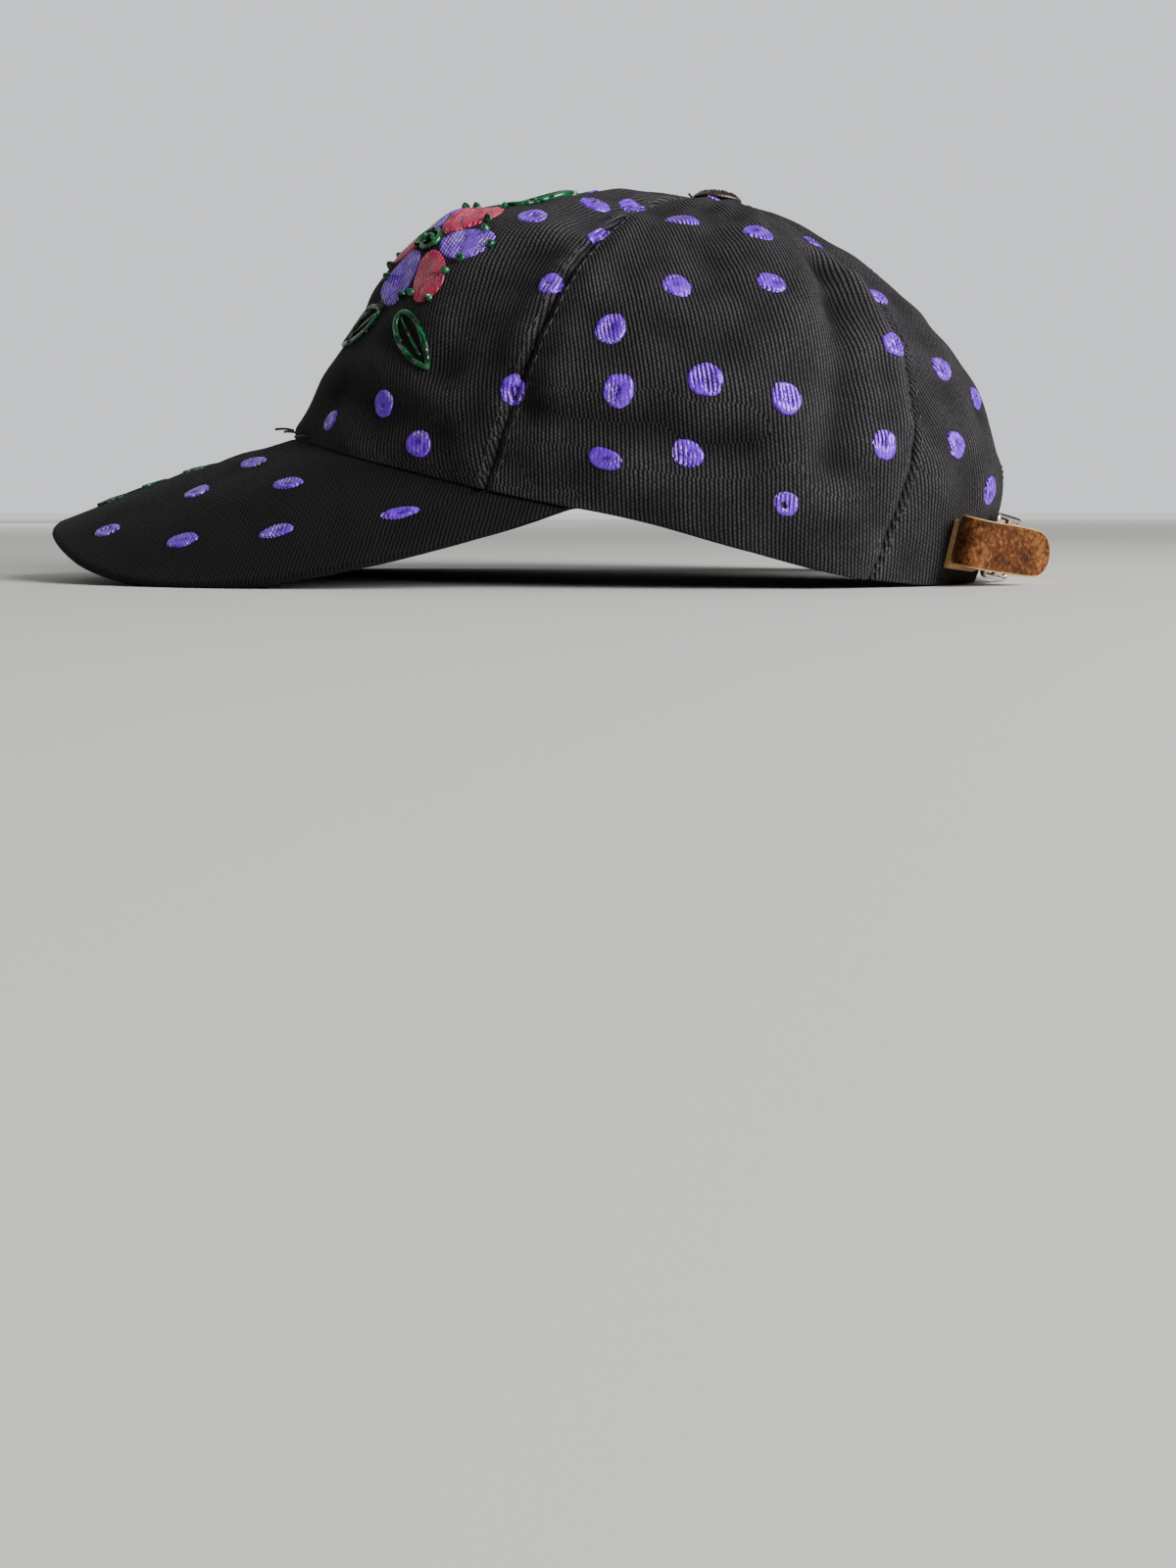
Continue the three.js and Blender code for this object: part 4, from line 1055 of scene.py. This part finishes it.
def stitch(target, start, end, lift_direction):
    """A float of thread between two points, slightly arched out of the cloth"""
    middle = (start + end) / 2 + lift_direction * STITCH_LIFT
    run = Vector(end - start)
    capsule = bmesh.new()
    bmesh.ops.create_uvsphere(capsule, u_segments=6, v_segments=5, radius=1)
    stretch = Matrix.Diagonal((STITCH_RADIUS, STITCH_RADIUS, run.length / 2, 1))
    bmesh.ops.transform(capsule, matrix=standing(middle, run) @ stretch, verts=capsule.verts[:])
    add_to(target, capsule)


def stitch_row(target, azimuths, levels):
    """Stitches along a line on the crown, given by many places along it"""
    line = crown(azimuths, levels)
    steps = np.linalg.norm(np.diff(line, axis=0), axis=1)
    travelled = np.concatenate([[0], np.cumsum(steps)])
    count = int(travelled[-1] / (STITCH_LENGTH + STITCH_GAP))
    starts = np.arange(count) * (STITCH_LENGTH + STITCH_GAP)
    starts = starts + thread_draw.normal(0, STITCH_UNEVENNESS, count)
    for start in starts:
        ends = np.array([start, start + STITCH_LENGTH])
        place_azimuth = np.interp(ends, travelled, azimuths)
        place_level = np.interp(ends, travelled, levels)
        place_azimuth = place_azimuth + np.array([-1, 1]) * STITCH_SLANT * STITCH_LENGTH / FRONT_REACH
        points = at_rest(crown(place_azimuth, place_level, np.zeros(2)))
        facing = outward(smooth_crown, place_azimuth[:1], place_level[:1])[0] @ REST_TURN.T
        stitch(target, points[0], points[1], facing)


black_thread, thread_tree, thread_shader = new_material("black_thread")
thread_tone = blend(thread_tree, grain(thread_tree, 0.0009), colour(14, 13, 14), colour(52, 50, 52))
feed(thread_tree, thread_shader.inputs["Base Color"], thread_tone)
thread_shader.inputs["Roughness"].default_value = 0.5
thread_shader.inputs["Specular IOR Level"].default_value = 0.4

stitches = bmesh.new()
seam_levels = np.linspace(*ROW_LEVELS, 160)
for seam_name in SEAMS:
    levels = seam_levels
    if seam_name == "back_centre":
        levels = levels[levels > opening_level + ROW_START_ABOVE_OPENING]
    for side in (1, -1):
        centre = side * seam_azimuth(seam_name, levels)
        for beside in (-1, 1):
            if beside != side and seam_name == "front_centre":
                continue
            if beside == side and seam_name == "back_centre":
                continue
            reach = crown_reach(centre, levels)
            stitch_row(stitches, centre + beside * ROW_FROM_SEAM / reach, levels)
round_opening = np.linspace(0, math.pi / 2, 90)
for side in (1, -1):
    levels = (opening_level + ROW_FROM_OPENING / CLOTH_LENGTH) * np.sin(round_opening)
    half = OPENING_WIDTH / 2 + ROW_FROM_OPENING
    azimuths = side * (math.pi - np.arcsin(half * np.cos(round_opening) / BACK_REACH))
    stitch_row(stitches, azimuths, np.maximum(levels, 0.01))
piece(stitches, "topstitching", black_thread)


# Button: a low dome pressed over a disc, with an old embossed pattern of crossing leaves in brown
# and black. Its shank goes down through the crown, where a flange holds it under the cloth.
BUTTON_RADIUS = 0.0070
BUTTON_HEIGHT = 0.0032
BUTTON_SKIRT = 0.0005
BUTTON_UNDER_RADIUS = 0.0065
SHANK_RADIUS = 0.0024
FLANGE_RADIUS = 0.0060
FLANGE_THICKNESS = 0.001
DOME_RINGS = 26
BUTTON_SIDES = 96
EMBOSSING = 0.00042
EMBOSSED_LEAVES = 7
EMBOSSED_SWEEP = 9.0
EMBOSSED_EDGE = 0.97

button_points = as_worn(np.array([list(vert.co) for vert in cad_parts["button"].data.vertices]))
button_top = button_points[:, 2].max()
button_seat = button_top - BUTTON_HEIGHT
flange_low = button_points[:, 2].min()
flange_high = flange_low + FLANGE_THICKNESS

profile = [(0.0, flange_low), (FLANGE_RADIUS, flange_low), (FLANGE_RADIUS, flange_high)]
profile += [(SHANK_RADIUS, flange_high), (SHANK_RADIUS, button_seat)]
profile += [(BUTTON_UNDER_RADIUS, button_seat), (BUTTON_RADIUS, button_seat + BUTTON_SKIRT)]
for ring in range(1, DOME_RINGS + 1):
    turn = ring / DOME_RINGS * math.pi / 2
    height = BUTTON_SKIRT + (BUTTON_HEIGHT - BUTTON_SKIRT) * math.sin(turn)
    profile.append((BUTTON_RADIUS * math.cos(turn), button_seat + height))

button = bmesh.new()
corners = [button.verts.new((radius, 0, height)) for radius, height in profile]
for corner, following in zip(corners, corners[1:]):
    button.edges.new((corner, following))
bmesh.ops.spin(button, geom=button.verts[:] + button.edges[:], cent=(0, 0, 0), axis=(0, 0, 1),
               angle=2 * math.pi, steps=BUTTON_SIDES, use_merge=True)
bmesh.ops.remove_doubles(button, verts=button.verts[:], dist=1e-6)
bmesh.ops.recalc_face_normals(button, faces=button.faces[:])
button_layer = button.verts.layers.float_vector.new("cloth")
for vert in button.verts:
    radius = math.hypot(vert.co.x, vert.co.y) / BUTTON_RADIUS
    if vert.co.z > button_seat + BUTTON_SKIRT * 1.01:
        turn = math.atan2(vert.co.y, vert.co.x)
        leaf = math.cos(EMBOSSED_LEAVES * turn + EMBOSSED_SWEEP * radius)
        leaf *= math.cos(EMBOSSED_LEAVES * turn - EMBOSSED_SWEEP * radius)
        inside = min(max((EMBOSSED_EDGE - radius) / 0.08, 0), 1) * min(radius / 0.18, 1)
        raised = (abs(leaf) ** 0.6 * math.copysign(1, leaf) - 0.3) * inside
        rim = math.exp(-((radius - 0.985) / 0.02) ** 2) * 0.4
        vert[button_layer] = (raised, rim, 0)
        vert.co.z += EMBOSSING * (raised + rim) * math.sqrt(max(1 - radius ** 2, 0.05))
button_places = at_rest(np.array([list(vert.co) for vert in button.verts]))
for vert, place in zip(button.verts, button_places):
    vert.co = place

embossed, tree, shader = new_material("embossed_button")
pattern = tree.nodes.new("ShaderNodeAttribute")
pattern.attribute_name = "cloth"
pattern_parts = tree.nodes.new("ShaderNodeSeparateXYZ")
feed(tree, pattern_parts.inputs[0], pattern.outputs["Vector"])
button_raised = work(tree, "ADD", pattern_parts.outputs[0], pattern_parts.outputs[1])
rubbed_and_highlit = work(tree, "MULTIPLY_ADD", grain(tree, 0.0011, 3.0), 0.9, button_raised)
brown = blend(tree, ramp(tree, rubbed_and_highlit, 0.2, 1.0), colour(14, 10, 8), colour(62, 43, 30))
# The embossing's highest tops are paler: partly rubbed wear and partly a painted highlight
worn_and_highlit_tops = ramp(tree, rubbed_and_highlit, 0.85, 1.35)
feed(tree, shader.inputs["Base Color"], blend(tree, worn_and_highlit_tops, brown, colour(150, 126, 104)))
feed(tree, shader.inputs["Normal"], bumped(tree, grain(tree, 0.0005, 3.0), 0.00012))
shader.inputs["Roughness"].default_value = 0.42
shader.inputs["Specular IOR Level"].default_value = 0.6
subdivided(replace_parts(piece(button, "covered_button", embossed), "button"), 1)


# Leather strap and stub: vegetable-tanned leather, tan and smooth on the grain side, brown suede on
# the flesh side. The strap is sewn to the right back gore, crosses the opening, goes through the
# buckle and doubles back, so that its tail shows the flesh side.
FACE_TURN = math.radians(40)
STRIP_EDGE = 0.00028
STRIP_FACES = {"grain": 0, "flesh": 1, "cut": 2}
FLAT_ENOUGH = math.radians(25)
SQUARE_ENOUGH = math.radians(60)


def regions_of(strip):
    """Faces that follow each other without a sharp edge, widest region first"""
    waiting = set(strip.faces)
    regions = []
    while waiting:
        front = [waiting.pop()]
        region = list(front)
        while front:
            face = front.pop()
            for edge in face.edges:
                for other in edge.link_faces:
                    if other in waiting and edge.calc_face_angle(0) < FACE_TURN:
                        waiting.discard(other)
                        front.append(other)
                        region.append(other)
        regions.append(region)
    return sorted(regions, key=lambda region: -sum(face.calc_area() for face in region))


def faces_outwards(region):
    """How much of a region looks away from the middle of the cap"""
    total = 0
    for face in region:
        centre = face.calc_center_median()
        total += face.calc_area() * face.normal.dot(Vector((centre.x, centre.y, 0)).normalized())
    return total


def leather_strip(node, name):
    """A strip of leather in the shape of its solid, with soft edges and its two sides told apart"""
    strip = bmesh.new()
    strip.from_mesh(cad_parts[node].data)
    bmesh.ops.remove_doubles(strip, verts=strip.verts[:], dist=1e-6)
    bmesh.ops.join_triangles(strip, faces=strip.faces[:], angle_face_threshold=FLAT_ENOUGH,
                             angle_shape_threshold=SQUARE_ENOUGH)
    regions = regions_of(strip)
    sides = sorted(regions[:2], key=faces_outwards, reverse=True)
    for face in strip.faces:
        face.material_index = STRIP_FACES["cut"]
    for side_faces, side_name in zip(sides, ("grain", "flesh")):
        for face in side_faces:
            face.material_index = STRIP_FACES[side_name]
    long_edges = [edge for edge in strip.edges if edge.calc_face_angle(0) > FACE_TURN]
    bmesh.ops.bevel(strip, geom=long_edges, offset=STRIP_EDGE, affect="EDGES", segments=2,
                    profile=0.5, material=STRIP_FACES["cut"], clamp_overlap=True)
    for side_name in ("grain", "flesh"):
        side_faces = [face for face in strip.faces if face.material_index == STRIP_FACES[side_name]]
        bmesh.ops.inset_region(strip, faces=side_faces, thickness=STRIP_EDGE, use_even_offset=True)
    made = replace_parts(piece(strip, name, tan_grain, brown_suede, cut_edge), node)
    return subdivided(made, 2)


tan_grain, tree, shader = new_material("tan_grain")
mottled = work(tree, "MULTIPLY_ADD", grain(tree, 0.006, 4.0), 0.8, work(
    tree, "MULTIPLY", grain(tree, 0.0010, 2.0), 0.4))
tan = blend(tree, ramp(tree, mottled, 0.3, 0.85), colour(158, 108, 58), colour(214, 166, 104))
feed(tree, shader.inputs["Base Color"], tan)
feed(tree, shader.inputs["Normal"], bumped(tree, grain(tree, 0.0007, 4.0), 0.00010))
shader.inputs["Roughness"].default_value = 0.5

brown_suede, tree, shader = new_material("brown_suede")
nap = grain(tree, 0.0011, 4.0)
clumps = work(tree, "MULTIPLY_ADD", nap, 1.0, work(tree, "MULTIPLY", grain(tree, 0.007, 3.0), 0.8))
darker = blend(tree, ramp(tree, clumps, 0.62, 0.95), colour(36, 18, 8), colour(86, 48, 23))
feed(tree, shader.inputs["Base Color"], blend(tree, ramp(tree, clumps, 0.92, 1.25), darker,
                                              colour(142, 92, 52)))
feed(tree, shader.inputs["Normal"], bumped(tree, work(tree, "ADD", nap, grain(tree, 0.0006, 3.0)),
                                           0.00045))
shader.inputs["Roughness"].default_value = 0.95
shader.inputs["Specular IOR Level"].default_value = 0.15
shader.inputs["Sheen Weight"].default_value = 0.25
shader.inputs["Sheen Roughness"].default_value = 0.4
shader.inputs["Sheen Tint"].default_value = colour(196, 150, 104)

cut_edge, tree, shader = new_material("cut_edge")
layers = blend(tree, grain(tree, 0.0008, 4.0), colour(122, 80, 42), colour(226, 184, 124))
feed(tree, shader.inputs["Base Color"], layers)
feed(tree, shader.inputs["Normal"], bumped(tree, grain(tree, 0.0004, 3.0), 0.00015))
shader.inputs["Roughness"].default_value = 0.8

leather_strip("strap", "leather_strap")
leather_strip("strap_stub", "leather_stub")


# Buckle: a slide of nickel-plated wire, bent into a rounded frame with a bar across its middle
WIRE_RADIUS = 0.0008
BUCKLE_CORNER = 0.0014
CORNER_STEPS = 6

buckle_points = np.array([list(vert.co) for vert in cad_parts["buckle"].data.vertices])
buckle_low = buckle_points.min(axis=0)
buckle_high = buckle_points.max(axis=0)
buckle_centre = (buckle_low + buckle_high) / 2
_, _, buckle_axes = np.linalg.svd(buckle_points - buckle_points.mean(axis=0), full_matrices=False)
spans = [(buckle_points - buckle_centre) @ axis for axis in buckle_axes]
long_half, short_half = ((span.max() - span.min()) / 2 - WIRE_RADIUS for span in spans[:2])
buckle_centre = buckle_centre + sum(
    axis * (span.max() + span.min()) / 2 for axis, span in zip(buckle_axes, spans))
halves = (long_half, short_half)
bar_along = 0 if abs(buckle_axes[0][2]) > abs(buckle_axes[1][2]) else 1
frame_corners = []
for quarter, (first, second) in enumerate(((1, 1), (-1, 1), (-1, -1), (1, -1))):
    for step in range(CORNER_STEPS + 1):
        turn = (quarter + step / CORNER_STEPS) * math.pi / 2
        first_place = first * (halves[0] - BUCKLE_CORNER) + BUCKLE_CORNER * math.cos(turn)
        second_place = second * (halves[1] - BUCKLE_CORNER) + BUCKLE_CORNER * math.sin(turn)
        frame_corners.append(buckle_centre + buckle_axes[0] * first_place
                             + buckle_axes[1] * second_place)

buckle = bmesh.new()
squeezed_line(buckle, frame_corners, WIRE_RADIUS, True)
bar_reach = buckle_axes[bar_along] * halves[bar_along]
squeezed_line(buckle, [buckle_centre - bar_reach, buckle_centre, buckle_centre + bar_reach],
              WIRE_RADIUS)
nickel, tree, shader = new_material("nickel_wire")
tarnish = ramp(tree, grain(tree, 0.003, 4.0), 0.45, 0.75)
feed(tree, shader.inputs["Base Color"], blend(tree, tarnish, colour(214, 211, 204), colour(150, 140, 122)))
feed(tree, shader.inputs["Roughness"], work(tree, "MULTIPLY_ADD", tarnish, 0.22, 0.2))
shader.inputs["Metallic"].default_value = 1.0
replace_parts(piece(buckle, "wire_buckle", nickel), "buckle")


# Loose threads: cut ends of black thread that stick out in front of the button and where the peak
# is sewn in, left when the seams were finished by hand
TUFT_RADIUS = 0.00034
TUFT_DROOP = 0.25
# Each row has a thread's azimuth in degrees, its level, its length and the way it heads
TUFTS = [
    (3.0, 0.955, 0.0048, (0.10, -0.55, 0.83)),
    (7.0, 0.957, 0.0040, (0.35, -0.80, 0.45)),
    (-3.0, 0.956, 0.0034, (-0.10, -0.90, 0.40)),
    (14.0, 0.960, 0.0036, (0.50, -0.75, 0.35)),
    (8.0, 0.006, 0.0054, (0.10, -0.98, 0.20)),
    (12.0, 0.005, 0.0044, (0.30, -0.93, 0.24)),
    (16.0, 0.006, 0.0040, (0.45, -0.88, 0.14)),
]
tufts = bmesh.new()
for azimuth, level, length, heading in TUFTS:
    foot = crown(np.array([math.radians(azimuth)]), np.array([level]), np.zeros(1))[0]
    heading = np.array(heading) / np.linalg.norm(heading)
    run = np.linspace(0, 1, 8)[:, None]
    droop = np.array([0.0, 0.0, -1.0]) * run ** 2 * length * TUFT_DROOP
    ends = at_rest(foot + heading * run * length + droop)
    squeezed_line(tufts, ends, TUFT_RADIUS)
piece(tufts, "loose_threads", black_thread)


# Stage: a wide pale table, lit evenly far off too, with a plain wall behind it. One wide window of
# soft light stands behind the cap, on the camera's side, a weaker one in front on the far side, and
# a third is overhead. The camera has the photograph's angle, place and focal length.
PHOTO_HEIGHT = 1600
PHOTO_FOCUS = 1750
CAMERA_PLACE = (0.5067, 0.0163, 0.0202)
CAMERA_PITCH = math.radians(9.15)
SENSOR = 0.036
WALL_BRIGHTNESS = 1.35
ROOM_BRIGHTNESS = 0.09
TABLE_SIZE = 6
FAR_TABLE = (0.7, 3.0)
FAR_TABLE_GLOW = 1.25
LIT_HEIGHT = 0.05
# Each row has a light's name, its place, its width and its watts
LIGHTS = [
    ("window", (0.72, 1.04, 0.62), 0.8, 42.0),
    ("far_window", (-1.00, -0.80, 0.85), 2.0, 9.0),
    ("ceiling", (0.00, 0.60, 1.30), 1.3, 2.6),
]

floor_sheet = bmesh.new()
bmesh.ops.create_grid(floor_sheet, x_segments=2, y_segments=2, size=TABLE_SIZE)
floor_mesh = bpy.data.meshes.new("table_top")
floor_sheet.to_mesh(floor_mesh)
floor_sheet.free()
table_top = bpy.data.objects.new("table_top", floor_mesh)
bpy.context.scene.collection.objects.link(table_top)
pale, pale_tree, pale_shader = new_material("pale_table")
pale_shader.inputs["Base Color"].default_value = colour(206, 205, 202)
pale_shader.inputs["Roughness"].default_value = 0.8
pale_shader.inputs["Emission Color"].default_value = colour(206, 205, 202)
away = pale_tree.nodes.new("ShaderNodeVectorMath")
away.operation = "LENGTH"
feed(pale_tree, away.inputs[0], pale_tree.nodes.new("ShaderNodeTexCoord").outputs["Object"])
far_off = ramp(pale_tree, away.outputs["Value"], *FAR_TABLE)
glow = work(pale_tree, "MULTIPLY", far_off, FAR_TABLE_GLOW)
feed(pale_tree, pale_shader.inputs["Emission Strength"], glow)
table_top.data.materials.append(pale)

world = bpy.data.worlds.new("soft_room")
bpy.context.scene.world = world
world.use_nodes = True
room_tree = world.node_tree
room = room_tree.nodes["Background"]
room.inputs["Color"].default_value = colour(214, 216, 219)
seen = room_tree.nodes.new("ShaderNodeLightPath").outputs["Is Camera Ray"]
feed(room_tree, room.inputs["Strength"], work(
    room_tree, "MULTIPLY_ADD", seen, WALL_BRIGHTNESS - ROOM_BRIGHTNESS, ROOM_BRIGHTNESS))

for light_name, place, size, watts in LIGHTS:
    lamp = bpy.data.lights.new(light_name, "AREA")
    lamp.size = size
    lamp.energy = watts
    holder = bpy.data.objects.new(light_name, lamp)
    bpy.context.scene.collection.objects.link(holder)
    holder.location = place
    to_cap = Vector((0, 0, LIT_HEIGHT)) - Vector(place)
    holder.rotation_euler = to_cap.to_track_quat("-Z", "Y").to_euler()

camera = bpy.data.cameras.new("camera")
camera.sensor_width = SENSOR * 1000
camera.lens = PHOTO_FOCUS / PHOTO_HEIGHT * SENSOR * 1000
camera.clip_start = 0.01
view = bpy.data.objects.new("camera", camera)
bpy.context.scene.collection.objects.link(view)
view.location = CAMERA_PLACE
view.rotation_euler = (math.pi / 2 - CAMERA_PITCH, 0, math.pi / 2)
bpy.context.scene.camera = view
